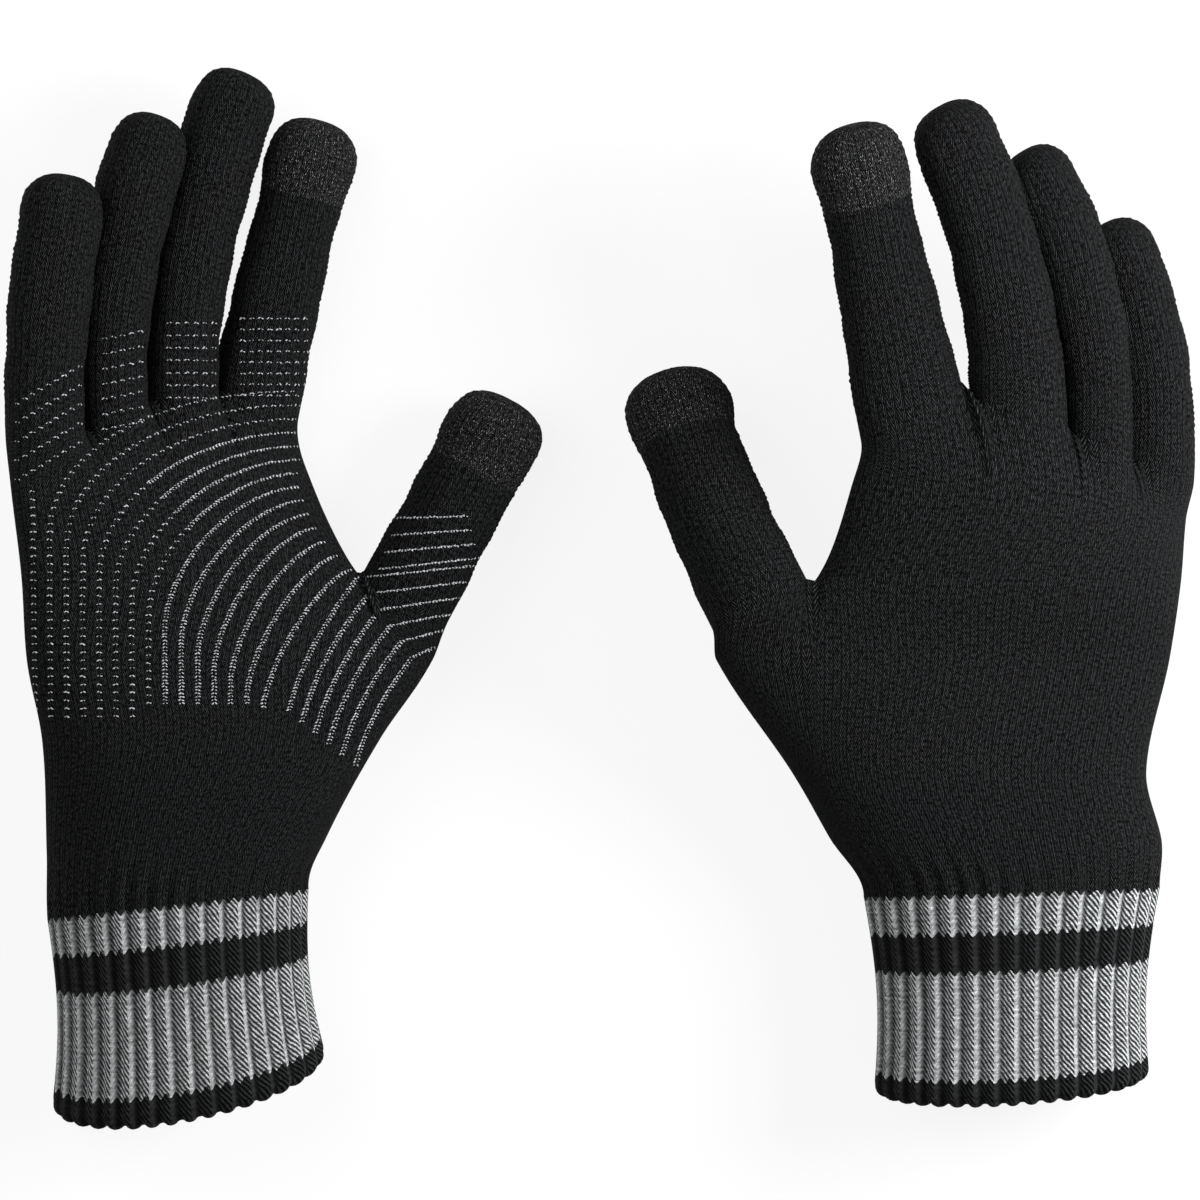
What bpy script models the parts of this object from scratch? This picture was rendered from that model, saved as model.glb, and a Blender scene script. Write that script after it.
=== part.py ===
"""A pair of knitted touchscreen gloves, filled out as if worn, lying on a table.

The left glove lies palm up and the right one back up. Fingers point to +Y and +Z is up from the table.
Each glove is lofted from its own lines: four fingers side by side on a tilted knuckle row, a thumb, the hand
between them and the cuff, and a striped rib cuff with a folded hem.
"""

import math
from dataclasses import dataclass, field

import bpy
import numpy as np

MM = 0.001
UP = np.array((0.0, 0.0, 1.0))

# Knit sizes shared by both gloves
WALL = 1.8 * MM
SEAM_GAP = 0.4 * MM
ROOT_SEAM_GAP = 0.8 * MM
TABLE_CLEARANCE = 0.4 * MM
FINGER_CLEARANCE = 1.4 * MM
WEB = 2.0 * MM
FINGER_THICKNESS = 18.5 * MM
THUMB_THICKNESS = 20.0 * MM
TIP_ROUNDING = 11.5 * MM
FLEX_LENGTH = 13.0 * MM
TOUCH_TIP_LENGTH = 20.0 * MM
PALM_THICKNESS = 30.0 * MM
KNUCKLE_THICKNESS = 25.0 * MM

# Cuff sizes, each stripe measured along the side edge
CUFF_THICKNESS = 38.0 * MM
CUFF_FLAT_DEPTH = 0.8 * MM
UPPER_STRIPE = 8.8 * MM
MIDDLE_STRIPE = 7.8 * MM
LOWER_BAND = 22.8 * MM
HEM = 6.6 * MM
HEM_THICKNESS = 6.4 * MM
HEM_TURN_UP = 2.4 * MM
CUFF_WAIST = 1.2 * MM
ELASTIC_HEIGHT = 2.4 * MM
ELASTIC_CLEARANCE = 0.45 * MM

# Shape of the loft
PALM_TWIST = 0.8
PALM_ARCH = 0.5
TIP_BLUNTNESS = 2.5
FLARE = 1.0 * MM
FLARE_LENGTH = 8.0 * MM
SWELL_SHARE = 0.7
CROTCH_SPREAD = 2.0
ROOT_SPAN = (0.0, 0.05)
FREE_SPAN = (0.3, 1.0)
CROTCH_COLUMN_LIMIT = 0.86
EDGE_CROWDING = 1.6

# Facets
FINGER_HALF_SEGMENTS = 5
THUMB_HALF_SEGMENTS = 5
LOWER_HAND_ROWS = (1, 1, 2, 3)
UPPER_HAND_ROWS = (2, 3)
CUFF_SEGMENTS = 32
ROOT_ROWS = 2
STALL_ROWS = 4
TIP_ROWS = 3
TIP_LAST_ANGLE = math.radians(72)
HEM_TURN_POINTS = 5
LINE_SAMPLES = 241
TANGENT_STEP = 0.0001
WELD_DISTANCE = 0.01 * MM

# Colours and roughness
BLACK_KNIT = (0.012, 0.013, 0.014, 1.0)
TOUCH_KNIT = (0.020, 0.019, 0.019, 1.0)
GREY_KNIT = (0.27, 0.28, 0.28, 1.0)
ELASTIC_WHITE = (0.6, 0.6, 0.58, 1.0)
KNIT_ROUGHNESS = 0.9
TOUCH_ROUGHNESS = 0.85
ELASTIC_ROUGHNESS = 0.7


@dataclass
class Digit:
    """A finger or thumb: its line in plan in millimetres, its widths, and its height and roll once placed."""

    name: str
    root: tuple
    bend: tuple
    tip: tuple
    root_width: float
    tip_width: float
    slant: float = 0.0
    flare: float = 0.0
    thickness: float = FINGER_THICKNESS
    levels: list = field(default_factory=lambda: [0.0, 0.0])
    rolls: list = field(default_factory=lambda: [0.0, 0.0])
    side_sign: int = 1

    def plan(self, t):
        """Points of the line in plan, at shares t of the curve."""
        t = np.asarray(t, float)[:, None]
        root, bend, tip = (np.array((*p, 0.0)) * MM for p in (self.root, self.bend, self.tip))
        return (1 - t) ** 2 * root + 2 * t * (1 - t) * bend + t**2 * tip

    def line(self, t):
        """Points of the centre line in space."""
        t = np.asarray(t, float)
        points = self.plan(t)
        points[:, 2] = self.levels[0] + (self.levels[1] - self.levels[0]) * t
        return points

    def measure(self):
        """Shares of the curve and the lengths that they reach along it."""
        t = np.linspace(0, 1, LINE_SAMPLES)
        steps = np.linalg.norm(np.diff(self.line(t), axis=0), axis=1)
        return t, np.concatenate(([0.0], np.cumsum(steps)))

    @property
    def length(self):
        return self.measure()[1][-1]

    def frame_at(self, s):
        """Centre, width direction, thickness direction and tangent at lengths s along the finger."""
        shares, lengths = self.measure()
        t = np.interp(s, lengths, shares)
        centre = self.line(t)
        ahead, behind = np.minimum(t + TANGENT_STEP, 1), np.maximum(t - TANGENT_STEP, 0)
        tangent = unit(self.line(ahead) - self.line(behind))
        up = unit(UP - tangent * tangent[:, 2:3])
        side = np.cross(tangent, up) * self.side_sign
        roll = (self.rolls[0] + (self.rolls[1] - self.rolls[0]) * t)[:, None]
        across = side * np.cos(roll) + up * np.sin(roll)
        through = up * np.cos(roll) - side * np.sin(roll)
        return centre, across, through, tangent

    def rings(self, s, theta):
        """Cross-sections of the finger: one row of points for each length s, one column for each angle."""
        s = np.asarray(s, float)
        length = self.length
        centre, across, through, tangent = self.frame_at(s)
        swell = smooth_step(s / (SWELL_SHARE * length))
        half_width = (self.root_width + (self.tip_width - self.root_width) * swell) / 2
        half_width += self.flare * smooth_step((s - (length - TOUCH_TIP_LENGTH)) / FLARE_LENGTH)
        into_tip = np.clip((s - (length - TIP_ROUNDING)) / TIP_ROUNDING, 0, 1)
        close = (1 - into_tip**TIP_BLUNTNESS) ** (1 / TIP_BLUNTNESS)
        lean = self.slant * (1 - smooth_step(s / FLEX_LENGTH))
        x = -np.cos(theta)[None, :, None]
        z = np.sin(theta)[None, :, None]
        points = centre[:, None] + across[:, None] * x * (half_width * close)[:, None, None]
        points += through[:, None] * z * (self.thickness / 2 * close)[:, None, None]
        return points + tangent[:, None] * x * lean[:, None, None]

    def lowest_reach(self):
        """How far the root and the tip sections reach below the centre line."""
        reach = []
        for width, roll in zip((self.root_width, self.tip_width), self.rolls):
            reach.append(math.hypot(width / 2 * math.sin(roll), self.thickness / 2 * math.cos(roll)))
        return reach


@dataclass
class Glove:
    """One glove's pose in plan, in millimetres. Points run from the little finger's side to the thumb's."""

    name: str
    thumb_sign: int
    fingers: tuple
    lowest_first: tuple
    palm_edge: tuple
    thumb_crotch: tuple
    knuckles: tuple
    heel: tuple
    thumb_lean: float
    thumb_bend: tuple
    thumb_tip: tuple
    thumb_width: float
    thumb_tip_level: float
    wrist: tuple
    hem_half_width: float
    cuff_lean: float
    hem_slope: float
    hem_droop: float


def smooth_step(x):
    x = np.clip(x, 0, 1)
    return x * x * (3 - 2 * x)


def plan_point(point, level=0.0):
    return np.array((point[0] * MM, point[1] * MM, level))


def unit(v):
    return v / np.linalg.norm(v, axis=-1, keepdims=True)


def least_spacing(first, second, shares):
    """The smallest distance in plan between two finger lines over the given shares of the first."""
    a = first.plan(shares)
    b = second.plan(np.linspace(0, 1, LINE_SAMPLES))
    return np.linalg.norm(a[:, None] - b[None], axis=2).min()


def stack_fingers(glove):
    """Set each finger's height so that it clears its neighbour, and its roll to suit both neighbours."""
    by_name = {f.name: f for f in glove.fingers}
    order = [by_name[n] for n in glove.lowest_first]
    spans = (np.linspace(*ROOT_SPAN, LINE_SAMPLES), np.linspace(*FREE_SPAN, LINE_SAMPLES))
    for end, shares in enumerate(spans):
        level = 0.0
        order[0].levels[end] = level
        for below, above in zip(order, order[1:]):
            widths = (below.root_width + above.root_width, below.tip_width + above.tip_width)
            need = widths[end] / 2 + FINGER_CLEARANCE
            spacing = least_spacing(above, below, shares)
            level += math.sqrt(max(need**2 - spacing**2, 0.0))
            above.levels[end] = level
    for finger in glove.fingers:
        finger.side_sign = glove.thumb_sign
    for end in range(2):
        slopes = []
        for first, second in zip(glove.fingers, glove.fingers[1:]):
            spacing = least_spacing(first, second, spans[end])
            slopes.append(math.atan2(second.levels[end] - first.levels[end], spacing))
        around = [slopes[0], *slopes, slopes[-1]]
        for finger, before, after in zip(glove.fingers, around, around[1:]):
            finger.rolls[end] = (before + after) / 2
    lift = order[0].lowest_reach()
    for finger in glove.fingers:
        for end in range(2):
            finger.levels[end] += lift[end] + TABLE_CLEARANCE


class GloveShape:
    """The surfaces of one glove, each as a grid of points."""

    def __init__(self, glove):
        self.glove = glove
        stack_fingers(glove)
        self.place_palm()
        self.place_thumb()
        self.place_heel()
        self.digits = {d.name: d for d in (*glove.fingers, self.thumb)}

    def place_palm(self):
        """The palm's sections at the thumb's crotch and at the knuckles."""
        g = self.glove
        ends = np.array((0.0, math.pi))
        self.little_side = g.fingers[0].rings([0.0], ends)[0, 0]
        self.index_side = g.fingers[-1].rings([0.0], ends)[0, 1]
        levels = np.array((self.little_side[2], self.index_side[2]))
        palm_levels = levels.mean() + (levels - levels.mean()) * PALM_TWIST
        arch = self.knuckle_arch()
        edges = (g.palm_edge, g.thumb_crotch)
        self.palm = Section(edges, palm_levels, PALM_THICKNESS, g.thumb_sign, arch * PALM_ARCH)
        self.knuckles = Section(g.knuckles, levels, KNUCKLE_THICKNESS, g.thumb_sign, arch)

    def knuckle_arch(self):
        """How the finger roots rise above the line between the outer two, as an even and an odd share."""
        g = self.glove
        sides = (self.little_side, self.index_side)
        row = Section([p[:2] / MM for p in sides], [p[2] for p in sides], 0.0, g.thumb_sign)
        roots = np.array([f.line([0.0])[0] for f in g.fingers]) - (self.little_side + self.index_side) / 2
        x = roots @ row.across / row.half_width
        rise = roots @ row.through
        shapes = np.stack((1 - x**2, x * (1 - x**2)), axis=1)
        return np.linalg.lstsq(shapes, rise, rcond=None)[0]

    def place_thumb(self):
        """The thumb, rooted beside the crotch."""
        g = self.glove
        crotch = self.palm.points(np.array((math.pi,)))[0]
        heading = np.array((g.thumb_sign * math.sin(g.thumb_lean), math.cos(g.thumb_lean), 0.0))
        side = np.cross(heading, UP) * g.thumb_sign
        root = crotch + side * (WEB + g.thumb_width / 2)
        lowest = THUMB_THICKNESS / 2 + TABLE_CLEARANCE
        self.thumb = Digit(
            "thumb",
            tuple(root[:2] / MM),
            g.thumb_bend,
            g.thumb_tip,
            g.thumb_width,
            g.thumb_width,
            flare=FLARE,
            thickness=THUMB_THICKNESS,
            levels=[max(root[2], lowest), max(g.thumb_tip_level, lowest)],
            side_sign=g.thumb_sign,
        )

    def place_heel(self):
        """Sections between the wrist and the thumb's crotch, across palm and thumb together."""
        g = self.glove
        wrist_level = CUFF_THICKNESS / 2
        thumb_outside = self.thumb.rings([0.0], np.array((math.pi,)))[0, 0]
        top_levels = np.array((self.palm.points(np.zeros(1))[0, 2], thumb_outside[2]))
        wrist_y = np.mean([p[1] for p in g.wrist])
        crotch_y = g.thumb_crotch[1]
        self.heel = []
        for edges in g.heel:
            share = smooth_step((np.mean([p[1] for p in edges]) - wrist_y) / (crotch_y - wrist_y))
            levels = wrist_level + (top_levels - wrist_level) * share
            thickness = CUFF_THICKNESS + (PALM_THICKNESS - CUFF_THICKNESS) * share
            self.heel.append(Section(edges, levels, thickness, g.thumb_sign))

    def cuff_frame(self, depth):
        """Centre, side and finger directions, half width and droop of the cuff at a depth below the wrist."""
        g = self.glove
        total = UPPER_STRIPE + MIDDLE_STRIPE + LOWER_BAND + HEM
        share = depth / total
        little, thumb = plan_point(g.wrist[0]), plan_point(g.wrist[1])
        top_side = unit(thumb - little)
        slope = g.hem_slope * g.thumb_sign
        hem_side = np.array((math.cos(slope), math.sin(slope), 0.0)) * g.thumb_sign
        side = unit(top_side + (hem_side - top_side) * share)
        along = np.array((math.sin(g.cuff_lean), math.cos(g.cuff_lean), 0.0))
        centre = (little + thumb) / 2 - along * depth + UP * CUFF_THICKNESS / 2
        top_half = np.linalg.norm(thumb - little) / 2
        half_width = top_half + (g.hem_half_width - top_half) * share
        half_width -= CUFF_WAIST * math.sin(math.pi * share)
        return centre, side, along, half_width, g.hem_droop * share

    def cuff_ring(self, depth, theta, inset=0.0):
        """The cuff's section at a depth below the wrist, flattened where it lies on the table."""
        centre, side, along, half_width, droop = self.cuff_frame(depth)
        half_height = CUFF_THICKNESS / 2 + CUFF_FLAT_DEPTH
        x = -np.cos(theta)[:, None]
        z = np.sin(theta)[:, None]
        points = centre + side * x * (half_width - inset) + UP * z * (half_height - inset)
        points[:, 2] = np.maximum(points[:, 2], inset)
        return points - along * z * droop

    def hand_grids(self, finger_half, thumb_half, lower_rows, upper_rows):
        """Grids of the hand's two sheets, each from wrist to thumb crotch and on to the finger roots."""
        grids = []
        palm_theta = self.column_angles(finger_half)
        for face in (1, -1):
            row, row_pull = self.finger_row(face, finger_half)
            thumb_theta = np.linspace(0, math.pi, thumb_half + 1)
            palm = self.palm.points(palm_theta * face)
            knuckles = self.knuckles.points(palm_theta * face)
            thumb = self.thumb.rings([0.0], thumb_theta * face)[0]
            split = [self.wrist_split(), *(self.crotch_angle(s) for s in self.heel)]
            around = [self.column_spread(a, palm_theta, thumb_half) for a in split]
            wrist = self.cuff_ring(0.0, around[0] * face)
            heel = [s.points(a * face) for s, a in zip(self.heel, around[1:])]
            lower = [wrist, *heel, np.concatenate((palm, thumb))]
            crotch_pull = np.concatenate((self.palm_pull(palm_theta, face, heel[-1], knuckles),
                                          self.thumb_pull(thumb_theta, face)))
            along = np.broadcast_to(self.cuff_frame(0.0)[2], wrist.shape)
            grids.append(spline_grid(lower, along, crotch_pull, lower_rows, 0))
            leaving = self.leaving_pull(palm_theta, palm, heel[-1], knuckles)
            grids.append(spline_grid([palm, knuckles, row], leaving, row_pull, upper_rows, finger_half))
        return grids

    def column_angles(self, finger_half):
        """Angles round the palm's sections that put each column below its place on the finger row."""
        widths = np.array([f.root_width for f in self.glove.fingers])
        starts = np.cumsum(widths + WEB) - widths - WEB
        into_finger = (1 - np.cos(np.linspace(0, math.pi, finger_half + 1))) / 2
        places = (starts[:, None] + widths[:, None] * into_finger).ravel()
        return np.arccos(np.clip(1 - 2 * places / places[-1], -1, 1))

    def column_spread(self, split, palm_theta, thumb_half):
        """Angles of the palm's and the thumb's columns on a section where they part at the split angle."""
        thumb_shares = np.linspace(0, 1, thumb_half + 2)[1:]
        return np.concatenate((palm_theta / math.pi * split, split + (math.pi - split) * thumb_shares))

    def crotch_angle(self, section):
        """The angle on a heel section that lies below the thumb's crotch."""
        crotch = self.palm.points(np.array((math.pi,)))[0]
        x = (crotch - section.centre) @ section.across / section.half_width
        return math.acos(-min(x, CROTCH_COLUMN_LIMIT))

    def wrist_split(self):
        return math.acos(-CROTCH_COLUMN_LIMIT)

    def finger_row(self, face, finger_half):
        """The hand's top edge on one face, round the finger roots, and the direction it arrives in."""
        fingers = self.glove.fingers
        theta = np.linspace(0, math.pi, finger_half + 1)
        points, pulls = [], []
        for number, finger in enumerate(fingers):
            _, _, through, tangent = finger.frame_at([0.0])
            points.append(finger.rings([0.0], theta * face)[0])
            webbed = np.where(theta < math.pi / 2, number > 0, number < len(fingers) - 1)
            over = (webbed * edge_share(theta))[:, None]
            pulls.append(tangent * (1 - over) - through * face * over)
        return np.concatenate(points), np.concatenate(pulls)

    def palm_pull(self, theta, face, heel, knuckles):
        """The direction of the lower hand's wales where they reach the crotch level."""
        near = ((theta > math.pi / 2) * edge_share(theta))[:, None]
        onward = unit(knuckles - heel[: len(knuckles)])
        return onward * (1 - near) - self.palm.through * face * near

    def thumb_pull(self, theta, face):
        """The direction of the lower hand's wales where they reach the thumb's root."""
        _, _, through, tangent = self.thumb.frame_at([0.0])
        near = ((theta < math.pi / 2) * edge_share(theta))[:, None]
        return tangent * (1 - near) - through * face * near

    def leaving_pull(self, theta, palm, heel, knuckles):
        """The direction in which the upper hand's wales leave the crotch level."""
        near = ((theta > math.pi / 2) * edge_share(theta))[:, None]
        onward = unit(knuckles - heel[: len(knuckles)])
        return onward * (1 - near) + unit(knuckles - palm) * near


class Section:
    """An oval section across the hand, between two edge points in plan at given levels, with an arch."""

    def __init__(self, edges, levels, thickness, thumb_sign, arch=(0.0, 0.0)):
        little, thumb = (plan_point(p, z) for p, z in zip(edges, levels))
        self.thickness = thickness
        self.arch = arch
        self.half_width = np.linalg.norm(thumb - little) / 2
        self.across = unit(thumb - little)
        along = np.cross(UP, unit((thumb - little) * (1, 1, 0))) * thumb_sign
        self.through = np.cross(self.across, along) * thumb_sign
        self.centre = (little + thumb) / 2
        lowest = self.points(np.linspace(0, 2 * math.pi, LINE_SAMPLES))[:, 2].min()
        self.centre[2] += max(TABLE_CLEARANCE - lowest, 0.0)

    def points(self, theta):
        x = -np.cos(theta)[:, None]
        z = np.sin(theta)[:, None] * self.thickness / 2
        z += (self.arch[0] + self.arch[1] * x) * (1 - x**2)
        return self.centre + self.across * x * self.half_width + self.through * z


def edge_share(theta):
    """1 at the edges of a half section, falling to 0 at its crown."""
    return (1 - np.abs(np.sin(theta))) ** CROTCH_SPREAD


def evened(pulls, reach):
    """Each column's pull drawn towards its neighbours' mean within a reach, but not at the side edges."""
    padded = np.pad(pulls, ((reach, reach), (0, 0)), mode="edge")
    means = np.mean([padded[n : n + len(pulls)] for n in range(2 * reach + 1)], axis=0)
    inside = np.sin(np.linspace(0, math.pi, len(pulls)))[:, None]
    return pulls + (means - pulls) * inside


def spline_grid(stations, first_pull, last_pull, rows, reach):
    """Smooth curves through the stations, one column each, as a grid of points with the given rows a span.

    The pulls at the inner stations are evened over a reach of columns.
    """
    chords = [np.linalg.norm(b - a, axis=1)[:, None] for a, b in zip(stations, stations[1:])]
    pulls = [first_pull]
    for before, after, a, b in zip(stations, stations[2:], chords, chords[1:]):
        pulls.append(evened((after - before) / (a + b), reach))
    pulls.append(last_pull)
    parts = []
    for number, count in enumerate(rows):
        u = np.linspace(0, 1, count + 1)[:, None, None]
        if number:
            u = u[1:]
        if number == len(rows) - 1:
            u = 1 - (1 - u) ** EDGE_CROWDING
        chord = chords[number]
        parts.append(
            (2 * u**3 - 3 * u**2 + 1) * stations[number]
            + (u**3 - 2 * u**2 + u) * pulls[number] * chord
            + (3 * u**2 - 2 * u**3) * stations[number + 1]
            + (u**3 - u**2) * pulls[number + 1] * chord
        )
    return np.concatenate(parts)


PALM_UP = Glove(
    name="palm_up",
    thumb_sign=1,
    fingers=(
        Digit("little", (-138.25, 41.5), (-139.5, 67.5), (-132.5, 106.5), 20.6 * MM, 23.4 * MM, 0.6 * MM),
        Digit("ring", (-122.0, 46.0), (-125.0, 81.0), (-110.2, 122.0), 19.2 * MM, 22.0 * MM, 3.2 * MM),
        Digit("middle", (-105.5, 50.25), (-105.5, 87.5), (-89.2, 132.0), 18.4 * MM, 22.6 * MM, 1.0 * MM),
        Digit("index", (-86.0, 49.0), (-79.6, 80.0), (-70.3, 119.5), 21.6 * MM, 21.6 * MM, -1.6 * MM, FLARE),
    ),
    lowest_first=("index", "middle", "ring", "little"),
    palm_edge=(-143.6, 6.0),
    thumb_crotch=(-62.2, 5.5),
    knuckles=((-146.0, 29.0), (-74.6, 33.0)),
    heel=(
        ((-138.6, -60.0), (-68.8, -60.0)),
        ((-138.5, -35.0), (-55.75, -35.0)),
        ((-142.1, -15.0), (-43.2, -15.0)),
    ),
    thumb_lean=math.radians(25),
    thumb_bend=(-38.2, 22.2),
    thumb_tip=(-22.8, 50.6),
    thumb_width=23.4 * MM,
    thumb_tip_level=13.0 * MM,
    wrist=((-138.8, -79.25), (-73.0, -72.0)),
    hem_half_width=34.2 * MM,
    cuff_lean=math.radians(-3.5),
    hem_slope=math.radians(11),
    hem_droop=9.2 * MM,
)

BACK_UP = Glove(
    name="back_up",
    thumb_sign=-1,
    fingers=(
        Digit("little", (138.9, 32.5), (140.3, 66.5), (127.6, 95.5), 22.4 * MM, 22.4 * MM, 2.5 * MM),
        Digit("ring", (123.75, 38.5), (125.2, 78.0), (106.3, 113.25), 19.2 * MM, 22.4 * MM, 3.5 * MM),
        Digit("middle", (104.5, 47.0), (101.3, 87.0), (86.3, 123.75), 25.0 * MM, 23.6 * MM, 4.6 * MM),
        Digit("index", (77.5, 47.0), (68.9, 85.0), (63.4, 119.5), 26.0 * MM, 22.6 * MM, -4.4 * MM, FLARE),
    ),
    lowest_first=("little", "ring", "middle", "index"),
    palm_edge=(145.2, 4.0),
    thumb_crotch=(53.9, 4.75),
    knuckles=((147.3, 20.0), (64.9, 31.0)),
    heel=(
        ((140.8, -61.0), (58.3, -60.0)),
        ((137.0, -43.0), (48.2, -43.0)),
        ((142.6, -15.0), (28.2, -15.0)),
    ),
    thumb_lean=math.radians(22),
    thumb_bend=(24.5, 28.5),
    thumb_tip=(17.2, 58.0),
    thumb_width=25.4 * MM,
    thumb_tip_level=16.0 * MM,
    wrist=((139.4, -74.5), (66.8, -77.0)),
    hem_half_width=34.0 * MM,
    cuff_lean=math.radians(0),
    hem_slope=math.radians(-1),
    hem_droop=4.6 * MM,
)


def clear_scene():
    for obj in list(bpy.data.objects):
        bpy.data.objects.remove(obj, do_unlink=True)


def make_material(name, colour, roughness):
    material = bpy.data.materials.new(name)
    material.use_nodes = True
    shader = material.node_tree.nodes["Principled BSDF"]
    shader.inputs["Base Color"].default_value = colour
    shader.inputs["Roughness"].default_value = roughness
    shader.inputs["Metallic"].default_value = 0.0
    return material


class Builder:
    """Makes the objects of both gloves and keeps count of the space that they fill."""

    def __init__(self):
        self.collection = bpy.data.collections.new("touchscreen_gloves")
        bpy.context.scene.collection.children.link(self.collection)
        self.corners = []
        self.black = make_material("black_knit", BLACK_KNIT, KNIT_ROUGHNESS)
        self.touch = make_material("touch_knit", TOUCH_KNIT, TOUCH_ROUGHNESS)
        self.grey = make_material("grey_knit", GREY_KNIT, KNIT_ROUGHNESS)
        self.elastic = make_material("elastic", ELASTIC_WHITE, ELASTIC_ROUGHNESS)

    def empty(self, name, place, parent=None):
        """An empty at a place given in the gloves' own frame."""
        holder = bpy.data.objects.new(name, None)
        self.collection.objects.link(holder)
        holder.parent = parent
        holder.location = place - np.array(parent["place"] if parent else (0.0, 0.0, 0.0))
        holder["place"] = [float(v) for v in place]
        return holder

    def piece(self, name, grids, material, parent, wrap=False, end_point=None, thick=True):
        """A knitted piece from its grids of points, with its origin at its parent empty."""
        origin = np.array(parent["place"])
        verts, faces = [], []
        for points, flip in grids:
            rows, columns, _ = points.shape
            first = len(verts)
            verts.extend((points.reshape(-1, 3) - origin).tolist())
            spans = columns if wrap else columns - 1
            for r in range(rows - 1):
                for c in range(spans):
                    n = (c + 1) % columns
                    corner = [r * columns + c, r * columns + n, (r + 1) * columns + n, (r + 1) * columns + c]
                    corner = [first + v for v in corner]
                    faces.append(corner[::-1] if flip else corner)
            if end_point is not None:
                last = first + (rows - 1) * columns
                verts.append((end_point - origin).tolist())
                for c in range(columns):
                    corner = [last + c, last + (c + 1) % columns, len(verts) - 1]
                    faces.append(corner[::-1] if flip else corner)
            self.corners.append(points.reshape(-1, 3))
        mesh = bpy.data.meshes.new(name)
        mesh.from_pydata(verts, [], faces)
        mesh.materials.append(material)
        obj = bpy.data.objects.new(name, mesh)
        self.collection.objects.link(obj)
        obj.parent = parent
        weld = obj.modifiers.new("weld", "WELD")
        weld.merge_threshold = WELD_DISTANCE
        if thick:
            shell = obj.modifiers.new("wall", "SOLIDIFY")
            shell.thickness = WALL
            shell.offset = -1
        mesh.shade_smooth()
        return obj

    def glove(self, glove, origin):
        """All the pieces of one glove, under an empty at its wrist."""
        shape = GloveShape(glove)
        flip = glove.thumb_sign < 0
        wrist = shape.cuff_frame(0.0)[0]
        holder = self.empty(f"{glove.name}_glove", wrist, origin)
        self.hand(shape, holder)
        for digit in shape.digits.values():
            self.digit(glove, digit, holder, flip)
        self.cuff(shape, holder, flip)

    def hand(self, shape, holder):
        grids = shape.hand_grids(FINGER_HALF_SEGMENTS, THUMB_HALF_SEGMENTS, LOWER_HAND_ROWS, UPPER_HAND_ROWS)
        mirrored = shape.glove.thumb_sign < 0
        sided = [(grid, mirrored if number < 2 else not mirrored) for number, grid in enumerate(grids)]
        self.piece(f"{shape.glove.name}_hand", sided, self.black, holder)

    def digit(self, glove, digit, holder, flip):
        """A finger's root band, its stall and, on the index and thumb, its touch tip."""
        half = THUMB_HALF_SEGMENTS if digit.name == "thumb" else FINGER_HALF_SEGMENTS
        theta = np.linspace(0, 2 * math.pi, 2 * half, endpoint=False)
        length = digit.length
        pivot = digit.frame_at([FLEX_LENGTH / 2])[0][0]
        hinge = self.empty(f"{glove.name}_{digit.name}_hinge", pivot, holder)
        band = digit.rings(np.linspace(ROOT_SEAM_GAP, FLEX_LENGTH - SEAM_GAP, ROOT_ROWS + 1), theta)
        self.piece(f"{glove.name}_{digit.name}_root", [(band, flip)], self.black, holder, wrap=True)
        angles = np.linspace(0, TIP_LAST_ANGLE, TIP_ROWS + 1)
        tip_rows = length - TIP_ROUNDING * (1 - np.sin(angles))
        stall_end = length - TIP_ROUNDING
        capped = digit.name in ("index", "thumb")
        if capped:
            stall_end = length - TOUCH_TIP_LENGTH - SEAM_GAP
        rows = np.linspace(FLEX_LENGTH, stall_end, STALL_ROWS + 1)
        end_point = digit.line([1.0])[0]
        name = f"{glove.name}_{digit.name}"
        if capped:
            cap_rows = np.concatenate(([length - TOUCH_TIP_LENGTH], tip_rows))
            cap = digit.rings(cap_rows, theta)
            self.piece(f"{name}_touch_tip", [(cap, flip)], self.touch, hinge, wrap=True, end_point=end_point)
            stall = digit.rings(rows, theta)
            self.piece(f"{name}_stall", [(stall, flip)], self.black, hinge, wrap=True)
        else:
            stall = digit.rings(np.concatenate((rows, tip_rows[1:])), theta)
            self.piece(f"{name}_stall", [(stall, flip)], self.black, hinge, wrap=True, end_point=end_point)

    def cuff(self, shape, holder, flip):
        """The striped rib cuff, its folded hem and the elastic inside the fold."""
        theta = np.linspace(0, 2 * math.pi, CUFF_SEGMENTS, endpoint=False)
        name = shape.glove.name
        depth = 0.0
        for band, tall, material in (
            ("cuff_upper_stripe", UPPER_STRIPE, self.grey),
            ("cuff_middle_stripe", MIDDLE_STRIPE, self.black),
            ("cuff_lower_band", LOWER_BAND, self.grey),
        ):
            ends = (depth + tall, depth + SEAM_GAP)
            rings = np.array([shape.cuff_ring(d, theta) for d in ends])
            self.piece(f"{name}_{band}", [(rings, flip)], material, holder, wrap=True)
            depth += tall
        end = depth + HEM
        turn = HEM_THICKNESS / 2
        profile = [(end - turn - HEM_TURN_UP, HEM_THICKNESS)]
        for angle in np.linspace(math.pi, 0, HEM_TURN_POINTS):
            profile.append((end - turn + turn * math.sin(angle), turn - turn * math.cos(angle)))
        profile.append((depth + SEAM_GAP, 0.0))
        hem = np.array([shape.cuff_ring(d, theta, inset) for d, inset in profile])
        self.piece(f"{name}_cuff_hem", [(hem, flip)], self.black, holder, wrap=True)
        half_thick = turn - WALL - ELASTIC_CLEARANCE
        middle = end - turn
        corners = ((-1, -1), (-1, 1), (1, 1), (1, -1), (-1, -1))
        rings = []
        for up, out in corners:
            level = middle + (up - 1) * ELASTIC_HEIGHT / 2
            rings.append(shape.cuff_ring(level, theta, turn + out * half_thick))
        elastic = np.array(rings)
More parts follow.
